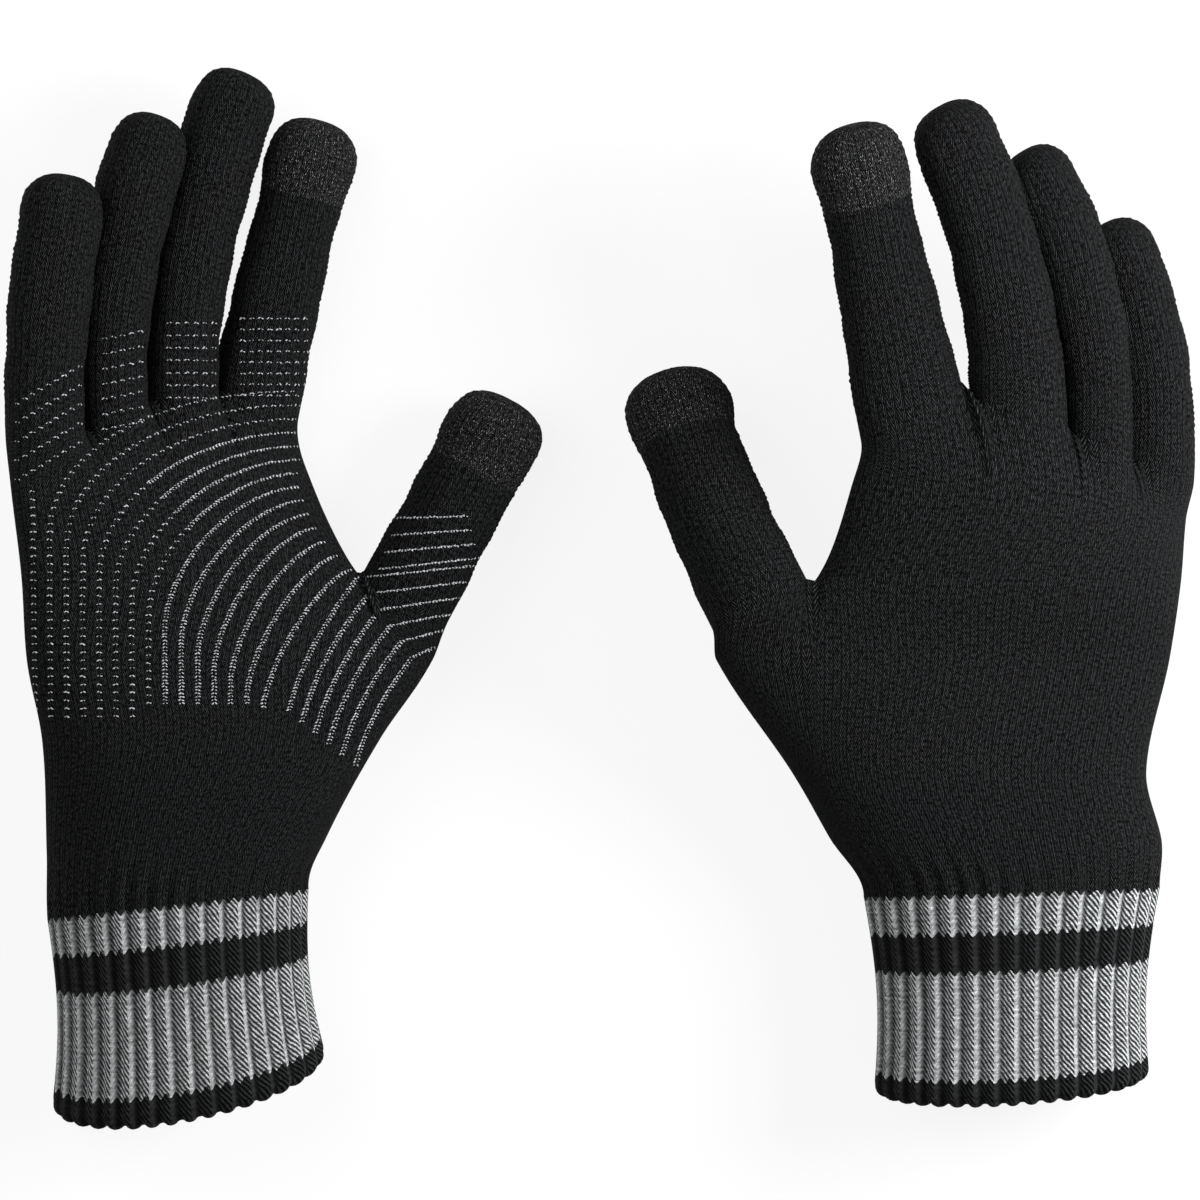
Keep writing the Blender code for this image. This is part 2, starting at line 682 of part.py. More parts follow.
        self.piece(f"{name}_hem_elastic", [(elastic, flip)], self.elastic, holder, wrap=True, thick=False)


def centre_on_origin(builder, origin):
    """Move the pair so that the middle of its footprint is the origin and the table is at zero."""
    points = np.concatenate(builder.corners)
    low, high = points.min(axis=0), points.max(axis=0)
    middle = (low + high) / 2
    origin.location = (-middle[0], -middle[1], -low[2])


def main():
    clear_scene()
    builder = Builder()
    origin = builder.empty("gloves_origin", np.zeros(3))
    for glove in (PALM_UP, BACK_UP):
        builder.glove(glove, origin)
    centre_on_origin(builder, origin)


main()
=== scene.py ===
import math
import random
from dataclasses import dataclass, field

import bmesh
import bpy
import numpy as np
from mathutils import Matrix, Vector
from mathutils.bvhtree import BVHTree


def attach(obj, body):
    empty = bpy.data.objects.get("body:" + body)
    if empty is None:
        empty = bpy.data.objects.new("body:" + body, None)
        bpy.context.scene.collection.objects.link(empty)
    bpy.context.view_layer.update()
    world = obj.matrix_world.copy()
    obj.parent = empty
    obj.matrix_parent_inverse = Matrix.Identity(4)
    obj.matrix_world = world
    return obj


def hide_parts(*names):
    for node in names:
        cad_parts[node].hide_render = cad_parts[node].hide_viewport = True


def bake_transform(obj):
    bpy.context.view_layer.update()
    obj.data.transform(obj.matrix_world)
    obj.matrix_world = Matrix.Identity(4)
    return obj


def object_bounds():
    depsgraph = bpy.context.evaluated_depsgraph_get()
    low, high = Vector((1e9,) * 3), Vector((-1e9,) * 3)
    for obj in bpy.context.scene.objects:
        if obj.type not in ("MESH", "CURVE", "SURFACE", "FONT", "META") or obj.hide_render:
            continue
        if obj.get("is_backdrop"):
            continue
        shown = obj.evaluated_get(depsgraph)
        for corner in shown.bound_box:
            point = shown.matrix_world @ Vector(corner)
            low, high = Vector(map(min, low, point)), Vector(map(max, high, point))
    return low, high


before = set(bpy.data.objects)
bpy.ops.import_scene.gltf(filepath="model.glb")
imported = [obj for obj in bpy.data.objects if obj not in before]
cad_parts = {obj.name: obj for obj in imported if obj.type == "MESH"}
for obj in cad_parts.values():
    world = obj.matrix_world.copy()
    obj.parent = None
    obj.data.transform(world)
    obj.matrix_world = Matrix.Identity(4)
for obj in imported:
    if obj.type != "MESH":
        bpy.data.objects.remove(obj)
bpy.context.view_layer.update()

MM = 0.001
UP = np.array((0.0, 0.0, 1.0))
WHITE = (1, 1, 1, 1)

# Places of the colour sockets of a mix node
MIX_COLOURS = (6, 7)
MIX_RESULT = 2

# Sizes of the gloves
TABLE_CLEARANCE = 0.4 * MM
FINGER_CLEARANCE = 1.4 * MM
WEB = 2.0 * MM
FINGER_THICKNESS = 18.5 * MM
THUMB_THICKNESS = 20.0 * MM
TIP_ROUNDING = 11.5 * MM
FLEX_LENGTH = 13.0 * MM
TOUCH_TIP_LENGTH = 20.0 * MM
PALM_THICKNESS = 30.0 * MM
KNUCKLE_THICKNESS = 25.0 * MM
CUFF_THICKNESS = 38.0 * MM
CUFF_FLAT_DEPTH = 0.8 * MM
CUFF_WAIST = 2.0 * MM
FLARE = 1.0 * MM
FLARE_LENGTH = 8.0 * MM

# Heights of each cuff's upper stripe, middle stripe, lower band and hem
CUFF_BANDS = {
    "palm_up": (8.6 * MM, 8.6 * MM, 22.4 * MM, 6.4 * MM),
    "back_up": (9.2 * MM, 9.0 * MM, 24.6 * MM, 6.0 * MM),
}
WRIST_COURSE = 0.6 * MM
HEM_THICKNESS = 6.4 * MM
HEM_INNER_EDGE = 1.2 * MM
HEM_LIP = 0.8 * MM
HEM_SCALLOP = 0.8 * MM

# Shares and powers that shape the surfaces
PALM_TWIST = 0.8
PALM_ARCH = 0.5
TIP_BLUNTNESS = 2.5
SWELL_SHARE = 0.7
CROTCH_SPREAD = 2.0
ROOT_SPAN = (0.0, 0.05)
FREE_SPAN = (0.3, 1.0)
CROTCH_COLUMN_LIMIT = 0.86
EDGE_CROWDING = 1.6
WEB_CURVE = 0.5
COLUMN_STRAIGHTNESS = 0.7

# Fineness of the skins
LINE_SAMPLES = 241
CUFF_SAMPLES = 8 * LINE_SAMPLES
TANGENT_STEP = 0.0001
FINGER_HALF = 30
THUMB_HALF = 30
LOWER_ROWS = (16, 24, 22, 24)
UPPER_ROWS = (26, 26)
TIP_ROWS = 18
HEM_TURN_ROWS = 12
SKIN = 1.5 * MM
SHARP_ANGLE = math.radians(50)
WELD_DISTANCE = 0.01 * MM

# Unevenness of the knit
ROUGHNESS_SEED = 3
ROUGH_HEIGHT = 0.08 * MM
COURSE_RELIEF = 0.18 * MM
WAVE_HEIGHT = 0.3 * MM
WAVE_LENGTHS = (4.1 * MM, 2.3 * MM)
PUCKER_HEIGHT = 16 * MM
PUCKER_DEPTH = 1.0 * MM

# Plain knit: stitch sizes, and the hand's rows over which its wales are counted
WALE = 2.05 * MM
COURSE = 1.4 * MM
COUNTED_ROWS = 36
KNIT_SLANT = 2.1
WALE_STAGGER = 0.38
STRAND_SHARPNESS = 2.3
LEG_WIDTH = (0.9, 0.1)
KNIT_TONE = (3.4, -1.1)

# Rib knit, with painted shade in its valleys and a painted highlight on each rib's right leg
RIBS = 34
RIB_COLUMNS = 12
RIB_SHARE = 0.7
RIB_DEPTH = 0.8 * MM
RIB_FLATNESS = 0.6
RIB_COURSE = 1.35 * MM
RIB_ROWS = 2
RIB_MIDDLE = 0.7
RIB_TURN = 0.15
RIB_SLANTS = (3.3, 1.6)
# Painted shade: the span across a rib over which its left leg brightens out of the valley
RIB_VALLEY_SHADE_SPAN = (0.12, 0.26)
RIB_SHARPNESS = 1.4
RIB_TONE = (1.3, -0.1)
# How dark the painted shade in the rib valleys is
VALLEY_PAINTED_SHADE = 0.24
# Painted highlight: the right leg is the yarn's own leg, kept at least this bright so it shows as a lit line
RIGHT_LEG_HIGHLIGHT_FLOOR = 0.6
# Painted shade: the span of the right leg over which it darkens into the next valley
RIGHT_LEG_SHADE_FADE = (0.3, 0.95)
EDGE_ZIGZAG = 1.2 * MM

# Yarns: colour on the strands and in the gaps between them
BLACK_YARN = ((0.062, 0.064, 0.067, 1), (0.0002, 0.0003, 0.0003, 1))
BLACK_RIB_YARN = ((0.042, 0.043, 0.045, 1), (0.0004, 0.0005, 0.0005, 1))
TOUCH_YARN = ((0.094, 0.095, 0.097, 1), (0.0006, 0.0006, 0.0006, 1))
GREY_YARN = ((0.80, 0.82, 0.83, 1), (0.006, 0.007, 0.007, 1))
KNIT_ROUGHNESS = 0.9
TOUCH_ROUGHNESS = 0.85
KNIT_SPECULAR = 0.04

# Flecks in a yarn: colour, threshold of the noise and strength
TOUCH_FLECK = ((0.42, 0.42, 0.43, 1), 0.6, 0.7)
GREY_FLECK = ((0.75, 0.77, 0.77, 1), 0.6, 0.5)

# Noises: scale and detail
JITTER_NOISE = (0.9, 2.0)
JITTER = (0.6, -0.3)
TONE_NOISE = (1.7, 3.0)
FLECK_NOISE = (2.6, 4.0)
LOOSE_NOISE = (90.0, 2.0)
# The silicone's noise makes both its bumpy grain and the painted glints in its colour
SILICONE_GRAIN_AND_GLINT_NOISE = (900.0, 3.0)
ELASTIC_NOISE = (1200.0, 2.0)

# Bumps: depth and strength
LOOSE_BUMP = (1.0 * MM, 0.4)
STITCH_BUMP = (0.4 * MM, 0.8)
SILICONE_BUMP = (0.1 * MM, 0.5)

# Grip: dark clear silicone over the knit, and pale speckles mixed into its colour that are painted glints
SILICONE_WITH_GLINTS = ((0.05, 0.05, 0.055, 1), (0.75, 0.77, 0.80, 1))
SILICONE_ROUGHNESS = 0.38
ELASTIC = ((0.4, 0.4, 0.38, 1), (0.7, 0.7, 0.67, 1))
ELASTIC_ROUGHNESS = 0.7

# Photograph scale, and the shift from plan places to the shared frame
PIXELS_PER_MM = 4.0
IMAGE_MIDDLE = 600.0
ROW_SHIFT = (-0.39 * MM, -0.28 * MM, 0.0)

# Print lines up the palm, in pixels of the photograph
PALM_LINES = 14
SPARSE_LINES = 8
DOTTED_LINES = 4
OUTER_LINE = ((37, 716), (35, 490))
FIRST_FOOT = 52
FOOT_STEP = 16.3
FOOT_LEVELS = (716, 703)
SWING_START = 6
SWING = 1.1
FIRST_END = (297, 391)
END_STEP = 13.7
TURN_FOOT = 81
TURN_LEVEL = 560
TURN_SLOPE = 0.8
ROUNDNESS_FADE = 300
CURVE_POINTS = 40
LINE_TURN = 20

# Print lines over the thumb's heel and rows along the thumb: first place and step to the next
HEEL_LINES = 6
HEEL_FOOT = ((289, 710), (13.2, 11.0))
HEEL_BEND = ((357, 578), (11.0, 15.8))
HEEL_END = ((471, 566), (-6.6, 16.0))
HEEL_SWELL = (0.25, 0.5)
HEEL_POINTS = 30
THUMB_ROWS = 4
ROW_START = ((381, 569), (6.0, -17.0))
ROW_END = ((478, 558), (-4.0, -14.0))

# Print rows on the index, middle, ring and little finger: middle, first level, last level, step, slope
# and half width
FINGER_ROWS = (
    (276, 318, 406, 11.0, 0.0, 34),
    (193, 323, 402, 12.5, 0.0, 24),
    (128, 335, 432, 15.0, -0.2, 22),
    (52, 385, 480, 19.0, -0.6, 32),
)

# Beads of the print, with their pitch along a line in pixels
DENSE_PITCH = 3.3
SPARSE_PITCH = 8.0
FINGER_PITCH = 9.0
PRINT_SEED = 7
PRINT_JITTER = 0.12 * MM
LEG_OFFSET = 0.38 * MM
LEG_TILT = 0.45
TILT_JITTER = 0.25
BEAD_SIZES = (0.6, 1.25)
BEAD_LENGTH = 0.45 * MM
BEAD_WIDTH = 0.18 * MM
BEAD_HEIGHT = 0.26 * MM
BEAD_SIDES = 6
BEAD_SINK = 0.5
SHOULDER_WIDTH = 0.7
SHOULDER_HEIGHT = 0.75
RAY_HEIGHT = 0.2
STEEPEST = 0.2

# Studio: each lamp's name, place from the middle of the pair, size and power
LIGHTS = (
    ("key", (0.75, 0.16, 0.46), 0.45, 14.0),
    ("fill", (-0.6, 0.3, 0.8), 0.9, 6.0),
)
AMBIENT = 0.24
FLOOR_SIZE = 12.0
FLOOR_DROP = 0.2 * MM
FLOOR_WHITE = (0.9, 0.9, 0.9, 1)
FLOOR_GLOW = 0.87
SENSOR_WIDTH = 36.0
LENS = 800.0
CAMERA_REACH = 4
CAMERA_FOCUS_LEVEL = 30 * MM


@dataclass
class Digit:
    """A finger or thumb: its line in plan in millimetres, its widths, and its height and roll."""

    name: str
    root: tuple
    bend: tuple
    tip: tuple
    root_width: float
    tip_width: float
    slant: float = 0.0
    flare: float = 0.0
    thickness: float = FINGER_THICKNESS
    levels: list = field(default_factory=lambda: [0.0, 0.0])
    rolls: list = field(default_factory=lambda: [0.0, 0.0])
    side_sign: int = 1

    def plan(self, t):
        """Points of the line in plan, at shares t of the curve."""
        t = np.asarray(t, float)[:, None]
        root, bend, tip = (np.array((*p, 0.0)) * MM for p in (self.root, self.bend, self.tip))
        return (1 - t) ** 2 * root + 2 * t * (1 - t) * bend + t**2 * tip

    def line(self, t):
        """Points of the centre line in space."""
        t = np.asarray(t, float)
        points = self.plan(t)
        points[:, 2] = self.levels[0] + (self.levels[1] - self.levels[0]) * t
        return points

    def measure(self):
        """Shares of the curve and the lengths that they reach along it."""
        t = np.linspace(0, 1, LINE_SAMPLES)
        steps = np.linalg.norm(np.diff(self.line(t), axis=0), axis=1)
        return t, np.concatenate(([0.0], np.cumsum(steps)))

    @property
    def length(self):
        return self.measure()[1][-1]

    def frame_at(self, s):
        """Centre, width direction, thickness direction and tangent at lengths s along the finger."""
        shares, lengths = self.measure()
        t = np.interp(s, lengths, shares)
        centre = self.line(t)
        ahead, behind = np.minimum(t + TANGENT_STEP, 1), np.maximum(t - TANGENT_STEP, 0)
        tangent = unit(self.line(ahead) - self.line(behind))
        up = unit(UP - tangent * tangent[:, 2:3])
        side = np.cross(tangent, up) * self.side_sign
        roll = (self.rolls[0] + (self.rolls[1] - self.rolls[0]) * t)[:, None]
        across = side * np.cos(roll) + up * np.sin(roll)
        through = up * np.cos(roll) - side * np.sin(roll)
        return centre, across, through, tangent

    def rings(self, s, theta):
        """Cross-sections of the finger: a row of points for each length s, a column for each angle."""
        s = np.asarray(s, float)
        length = self.length
        centre, across, through, tangent = self.frame_at(s)
        swell = smooth_step(s / (SWELL_SHARE * length))
        half_width = (self.root_width + (self.tip_width - self.root_width) * swell) / 2
        half_width += self.flare * smooth_step((s - (length - TOUCH_TIP_LENGTH)) / FLARE_LENGTH)
        into_tip = np.clip((s - (length - TIP_ROUNDING)) / TIP_ROUNDING, 0, 1)
        close = (1 - into_tip**TIP_BLUNTNESS) ** (1 / TIP_BLUNTNESS)
        lean = self.slant * (1 - smooth_step(s / FLEX_LENGTH))
        x = -np.cos(theta)[None, :, None]
        z = np.sin(theta)[None, :, None]
        points = centre[:, None] + across[:, None] * x * (half_width * close)[:, None, None]
        points += through[:, None] * z * (self.thickness / 2 * close)[:, None, None]
        return points + tangent[:, None] * x * lean[:, None, None]

    def lowest_reach(self):
        """How far the root and the tip sections reach below the centre line."""
        reach = []
        for width, roll in zip((self.root_width, self.tip_width), self.rolls):
            reach.append(math.hypot(width / 2 * math.sin(roll), self.thickness / 2 * math.cos(roll)))
        return reach


@dataclass
class Glove:
    """One glove's pose in plan, in millimetres. Pairs of points start on the little finger's side."""

    name: str
    thumb_sign: int
    fingers: tuple
    lowest_first: tuple
    palm_edge: tuple
    thumb_crotch: tuple
    knuckles: tuple
    heel: tuple
    thumb_lean: float
    thumb_bend: tuple
    thumb_tip: tuple
    thumb_root_width: float
    thumb_tip_width: float
    thumb_tip_level: float
    wrist: tuple
    hem_half_width: float
    cuff_lean: float
    hem_slope: float
    hem_droop: float

    @property
    def cuff_direction(self):
        """From the hem to the wrist, along the cuff."""
        return np.array((math.sin(self.cuff_lean), math.cos(self.cuff_lean), 0.0))


def smooth_step(x):
    x = np.clip(x, 0, 1)
    return x * x * (3 - 2 * x)


def plan_point(point, level=0.0):
    return np.array((point[0] * MM, point[1] * MM, level))


def unit(v):
    return v / np.linalg.norm(v, axis=-1, keepdims=True)


def least_spacing(first, second, shares):
    """The smallest distance in plan between two finger lines over the given shares of the first."""
    a = first.plan(shares)
    b = second.plan(np.linspace(0, 1, LINE_SAMPLES))
    return np.linalg.norm(a[:, None] - b[None], axis=2).min()


def stack_fingers(glove):
    """Set each finger's height so that it clears its neighbour, and its roll to suit both neighbours."""
    by_name = {f.name: f for f in glove.fingers}
    order = [by_name[n] for n in glove.lowest_first]
    spans = (np.linspace(*ROOT_SPAN, LINE_SAMPLES), np.linspace(*FREE_SPAN, LINE_SAMPLES))
    for end, shares in enumerate(spans):
        level = 0.0
        order[0].levels[end] = level
        for below, above in zip(order, order[1:]):
            widths = (below.root_width + above.root_width, below.tip_width + above.tip_width)
            need = widths[end] / 2 + FINGER_CLEARANCE
            spacing = least_spacing(above, below, shares)
            level += math.sqrt(max(need**2 - spacing**2, 0.0))
            above.levels[end] = level
    for finger in glove.fingers:
        finger.side_sign = glove.thumb_sign
    for end in range(2):
        slopes = []
        for first, second in zip(glove.fingers, glove.fingers[1:]):
            spacing = least_spacing(first, second, spans[end])
            slopes.append(math.atan2(second.levels[end] - first.levels[end], spacing))
        around = [slopes[0], *slopes, slopes[-1]]
        for finger, before, after in zip(glove.fingers, around, around[1:]):
            finger.rolls[end] = (before + after) / 2
    lift = order[0].lowest_reach()
    for finger in glove.fingers:
        for end in range(2):
            finger.levels[end] += lift[end] + TABLE_CLEARANCE


class GloveShape:
    """The surfaces of one glove, each as a grid of points."""

    def __init__(self, glove):
        self.glove = glove
        stack_fingers(glove)
        self.place_palm()
        self.place_thumb()
        self.place_heel()
        self.digits = {d.name: d for d in (*glove.fingers, self.thumb)}

    def place_palm(self):
        """The palm's sections at the thumb's crotch and at the knuckles."""
        g = self.glove
        ends = np.array((0.0, math.pi))
        self.little_side = g.fingers[0].rings([0.0], ends)[0, 0]
        self.index_side = g.fingers[-1].rings([0.0], ends)[0, 1]
        levels = np.array((self.little_side[2], self.index_side[2]))
        palm_levels = levels.mean() + (levels - levels.mean()) * PALM_TWIST
        arch = self.knuckle_arch()
        edges = (g.palm_edge, g.thumb_crotch)
        self.palm = Section(edges, palm_levels, PALM_THICKNESS, g.thumb_sign, arch * PALM_ARCH)
        self.knuckles = Section(g.knuckles, levels, KNUCKLE_THICKNESS, g.thumb_sign, arch)

    def knuckle_arch(self):
        """How the finger roots rise above the line between the outer two, as an even and an odd share."""
        g = self.glove
        sides = (self.little_side, self.index_side)
        row = Section([p[:2] / MM for p in sides], [p[2] for p in sides], 0.0, g.thumb_sign)
        roots = np.array([f.line([0.0])[0] for f in g.fingers]) - (self.little_side + self.index_side) / 2
        x = roots @ row.across / row.half_width
        rise = roots @ row.through
        shapes = np.stack((1 - x**2, x * (1 - x**2)), axis=1)
        return np.linalg.lstsq(shapes, rise, rcond=None)[0]

    def place_thumb(self):
        """The thumb, rooted beside the crotch."""
        g = self.glove
        crotch = self.palm.points(np.array((math.pi,)))[0]
        heading = np.array((g.thumb_sign * math.sin(g.thumb_lean), math.cos(g.thumb_lean), 0.0))
        side = np.cross(heading, UP) * g.thumb_sign
        root = crotch + side * (WEB + g.thumb_root_width / 2)
        lowest = THUMB_THICKNESS / 2 + TABLE_CLEARANCE
        self.thumb = Digit(
            "thumb",
            tuple(root[:2] / MM),
            g.thumb_bend,
            g.thumb_tip,
            g.thumb_root_width,
            g.thumb_tip_width,
            flare=FLARE,
            thickness=THUMB_THICKNESS,
            levels=[max(root[2], lowest), max(g.thumb_tip_level, lowest)],
            side_sign=g.thumb_sign,
        )

    def place_heel(self):
        """Sections between the wrist and the thumb's crotch, across palm and thumb together."""
        g = self.glove
        wrist_level = CUFF_THICKNESS / 2
        thumb_outside = self.thumb.rings([0.0], np.array((math.pi,)))[0, 0]
        top_levels = np.array((self.palm.points(np.zeros(1))[0, 2], thumb_outside[2]))
        wrist_y = np.mean([p[1] for p in g.wrist])
        crotch_y = g.thumb_crotch[1]
        self.heel = []
        for edges in g.heel:
            share = smooth_step((np.mean([p[1] for p in edges]) - wrist_y) / (crotch_y - wrist_y))
            levels = wrist_level + (top_levels - wrist_level) * share
            thickness = CUFF_THICKNESS + (PALM_THICKNESS - CUFF_THICKNESS) * share
            self.heel.append(Section(edges, levels, thickness, g.thumb_sign))

    def hand_grids(self):
        """Grids of the hand's two sheets, each from wrist to thumb crotch and on to the finger roots."""
        grids = []
        palm_theta = self.column_angles()
        thumb_theta = np.linspace(0, math.pi, THUMB_HALF + 1)
        near = ((palm_theta > math.pi / 2) * edge_share(palm_theta))[:, None]
        split = [self.wrist_split(), *(self.crotch_angle(s) for s in self.heel)]
        around = [self.column_spread(a) for a in split]
        zero = np.zeros_like(around[0])
        for face in (1, -1):
            row, row_pull = self.finger_row(face)
            palm = self.palm.points(palm_theta * face)
            knuckles = self.knuckles.points(palm_theta * face)
            thumb = self.thumb.rings([0.0], thumb_theta * face)[0]
            wrist = cuff_points(self.glove, zero, around[0] * face, zero)
            heel = [s.points(a * face) for s, a in zip(self.heel, around[1:])]
            onward = unit(knuckles - heel[-1][: len(knuckles)]) * (1 - near)
            over_web = unit(unit(knuckles - palm) - self.palm.across * WEB_CURVE)
            palm_pull = onward - self.palm.through * face * near
            arriving = np.concatenate((palm_pull, self.thumb_pull(thumb_theta, face)))
            along = np.broadcast_to(self.glove.cuff_direction, wrist.shape)
            lower = [wrist, *heel, np.concatenate((palm, thumb))]
            grids.append(spline_grid(lower, along, arriving, LOWER_ROWS, 0))
            leaving = onward + over_web * near
            grids.append(spline_grid([palm, knuckles, row], leaving, row_pull, UPPER_ROWS, FINGER_HALF))
        return grids

    def column_angles(self):
        """Angles round the palm's sections that put each column below its place on the finger row."""
        widths = np.array([f.root_width for f in self.glove.fingers])
        starts = np.cumsum(widths + WEB) - widths - WEB
        into_finger = (1 - np.cos(np.linspace(0, math.pi, FINGER_HALF + 1))) / 2
        places = (starts[:, None] + widths[:, None] * into_finger).ravel()
        return np.arccos(np.clip(1 - 2 * places / places[-1], -1, 1))

    def column_spread(self, split):
        """Angles of the palm's and thumb's columns on a section where they part at the split angle."""
        palm_theta = self.column_angles()
        thumb_shares = np.linspace(0, 1, THUMB_HALF + 2)[1:]
        even = palm_theta / math.pi * split
        straight = np.arccos(1 - (1 - np.cos(palm_theta)) / 2 * (1 - math.cos(split)))
        palm = even + (straight - even) * COLUMN_STRAIGHTNESS
        return np.concatenate((palm, split + (math.pi - split) * thumb_shares))

    def crotch_angle(self, section):
        """The angle on a heel section that lies below the thumb's crotch."""
        crotch = self.palm.points(np.array((math.pi,)))[0]
        x = (crotch - section.centre) @ section.across / section.half_width
        return math.acos(-min(x, CROTCH_COLUMN_LIMIT))

    def wrist_split(self):
        return math.acos(-CROTCH_COLUMN_LIMIT)

    def finger_row(self, face):
        """The hand's top edge on one face, round the finger roots, and the direction it arrives in."""
        fingers = self.glove.fingers
        theta = np.linspace(0, math.pi, FINGER_HALF + 1)
        points, pulls = [], []
        for number, finger in enumerate(fingers):
            _, _, through, tangent = finger.frame_at([0.0])
            points.append(finger.rings([0.0], theta * face)[0])
            webbed = np.where(theta < math.pi / 2, number > 0, number < len(fingers) - 1)
            over = (webbed * edge_share(theta))[:, None]
            pulls.append(tangent * (1 - over) - through * face * over)
        return np.concatenate(points), np.concatenate(pulls)

    def thumb_pull(self, theta, face):
        """The direction of the lower hand's wales where they reach the thumb's root."""
        _, _, through, tangent = self.thumb.frame_at([0.0])
        near = ((theta < math.pi / 2) * edge_share(theta))[:, None]
        return tangent * (1 - near) - through * face * near


class Section:
    """An oval section across the hand, between two edge points in plan at given levels, with an arch."""

    def __init__(self, edges, levels, thickness, thumb_sign, arch=(0.0, 0.0)):
        little, thumb = (plan_point(p, z) for p, z in zip(edges, levels))
        self.thickness = thickness
        self.arch = arch
        self.half_width = np.linalg.norm(thumb - little) / 2
        self.across = unit(thumb - little)
        along = np.cross(UP, unit((thumb - little) * (1, 1, 0))) * thumb_sign
        self.through = np.cross(self.across, along) * thumb_sign
        self.centre = (little + thumb) / 2
        lowest = self.points(np.linspace(0, 2 * math.pi, LINE_SAMPLES))[:, 2].min()
        self.centre[2] += max(TABLE_CLEARANCE - lowest, 0.0)

    def points(self, theta):
        x = -np.cos(theta)[:, None]
        z = np.sin(theta)[:, None] * self.thickness / 2
        z += (self.arch[0] + self.arch[1] * x) * (1 - x**2)
        return self.centre + self.across * x * self.half_width + self.through * z


def edge_share(theta):
    """1 at the edges of a half section, falling to 0 at its crown."""
    return (1 - np.abs(np.sin(theta))) ** CROTCH_SPREAD


def evened(pulls, reach):
    """Each column's pull drawn towards its neighbours' mean within a reach, but not at the side edges."""
    padded = np.pad(pulls, ((reach, reach), (0, 0)), mode="edge")
    means = np.mean([padded[n : n + len(pulls)] for n in range(2 * reach + 1)], axis=0)
    inside = np.sin(np.linspace(0, math.pi, len(pulls)))[:, None]
    return pulls + (means - pulls) * inside


def spline_grid(stations, first_pull, last_pull, rows, reach):
    """Smooth curves through the stations, one column each, as a grid with the given rows in each span.

    The pulls at the inner stations are evened over a reach of columns.
    """
    chords = [np.linalg.norm(b - a, axis=1)[:, None] for a, b in zip(stations, stations[1:])]
    pulls = [first_pull]
    for before, after, a, b in zip(stations, stations[2:], chords, chords[1:]):
        pulls.append(evened((after - before) / (a + b), reach))
    pulls.append(last_pull)
    parts = []
    for number, count in enumerate(rows):
        u = np.linspace(0, 1, count + 1)[:, None, None]
        if number:
            u = u[1:]
        if number == len(rows) - 1:
            u = 1 - (1 - u) ** EDGE_CROWDING
        chord = chords[number]
        parts.append(
            (2 * u**3 - 3 * u**2 + 1) * stations[number]
            + (u**3 - 2 * u**2 + u) * pulls[number] * chord
            + (3 * u**2 - 2 * u**3) * stations[number + 1]
            + (u**3 - u**2) * pulls[number + 1] * chord
        )
    return np.concatenate(parts)


PALM_UP = Glove(
    name="palm_up",
    thumb_sign=1,
    fingers=(
        Digit("little", (-138.25, 41.5), (-139.5, 67.5), (-132.5, 106.0), 20.6 * MM, 23.4 * MM, 0.6 * MM),
        Digit("ring", (-122.0, 46.0), (-125.0, 81.0), (-109.8, 121.0), 19.2 * MM, 22.0 * MM, 3.2 * MM),
        Digit("middle", (-105.2, 50.25), (-106.3, 87.5), (-88.8, 132.0), 20.4 * MM, 22.6 * MM, 1.0 * MM),
        Digit("index", (-86.6, 49.0), (-81.0, 80.0), (-69.7, 120.2), 25.4 * MM, 21.6 * MM, -1.6 * MM, FLARE),
    ),
    lowest_first=("index", "middle", "ring", "little"),
    palm_edge=(-143.6, 6.0),
    thumb_crotch=(-61.6, 7.0),
    knuckles=((-146.0, 29.0), (-74.6, 33.0)),
    heel=(
        ((-138.6, -60.0), (-68.8, -60.0)),
        ((-139.2, -35.0), (-55.4, -35.0)),
        ((-142.7, -15.0), (-42.2, -15.0)),
    ),
    thumb_lean=math.radians(25),
    thumb_bend=(-37.4, 21.7),
    thumb_tip=(-22.3, 50.2),
    thumb_root_width=24.6 * MM,
    thumb_tip_width=23.6 * MM,
    thumb_tip_level=13.0 * MM,
    wrist=((-138.6, -79.7), (-72.8, -72.3)),
    hem_half_width=35.2 * MM,
    cuff_lean=math.radians(-3.5),
    hem_slope=math.radians(11),
    hem_droop=8.6 * MM,
)

BACK_UP = Glove(
    name="back_up",
    thumb_sign=-1,
    fingers=(
        Digit("little", (138.9, 32.5), (140.8, 66.5), (126.5, 94.6), 22.4 * MM, 22.4 * MM, 2.5 * MM),
        Digit("ring", (123.75, 38.5), (125.4, 78.0), (105.5, 112.2), 19.2 * MM, 22.4 * MM, 3.5 * MM),
        Digit("middle", (104.5, 47.0), (103.2, 87.0), (84.5, 123.0), 25.6 * MM, 23.6 * MM, 4.6 * MM),
        Digit("index", (77.5, 47.0), (69.6, 85.0), (62.3, 118.3), 28.2 * MM, 23.2 * MM, -4.4 * MM, FLARE),
    ),
    lowest_first=("little", "ring", "middle", "index"),
    palm_edge=(145.2, 4.0),
    thumb_crotch=(53.9, 4.75),
    knuckles=((146.4, 20.0), (63.9, 31.0)),
    heel=(
        ((140.8, -61.0), (57.7, -60.0)),
        ((136.8, -43.0), (48.0, -43.0)),
        ((142.6, -15.0), (29.2, -15.0)),
    ),
    thumb_lean=math.radians(22),
    thumb_bend=(25.0, 28.0),
    thumb_tip=(17.0, 56.4),
    thumb_root_width=26.6 * MM,
    thumb_tip_width=25.0 * MM,
    thumb_tip_level=16.0 * MM,
    wrist=((140.4, -71.9), (65.8, -74.3)),
    hem_half_width=34.8 * MM,
    cuff_lean=math.radians(0),
    hem_slope=math.radians(-3.5),
    hem_droop=4.6 * MM,
)


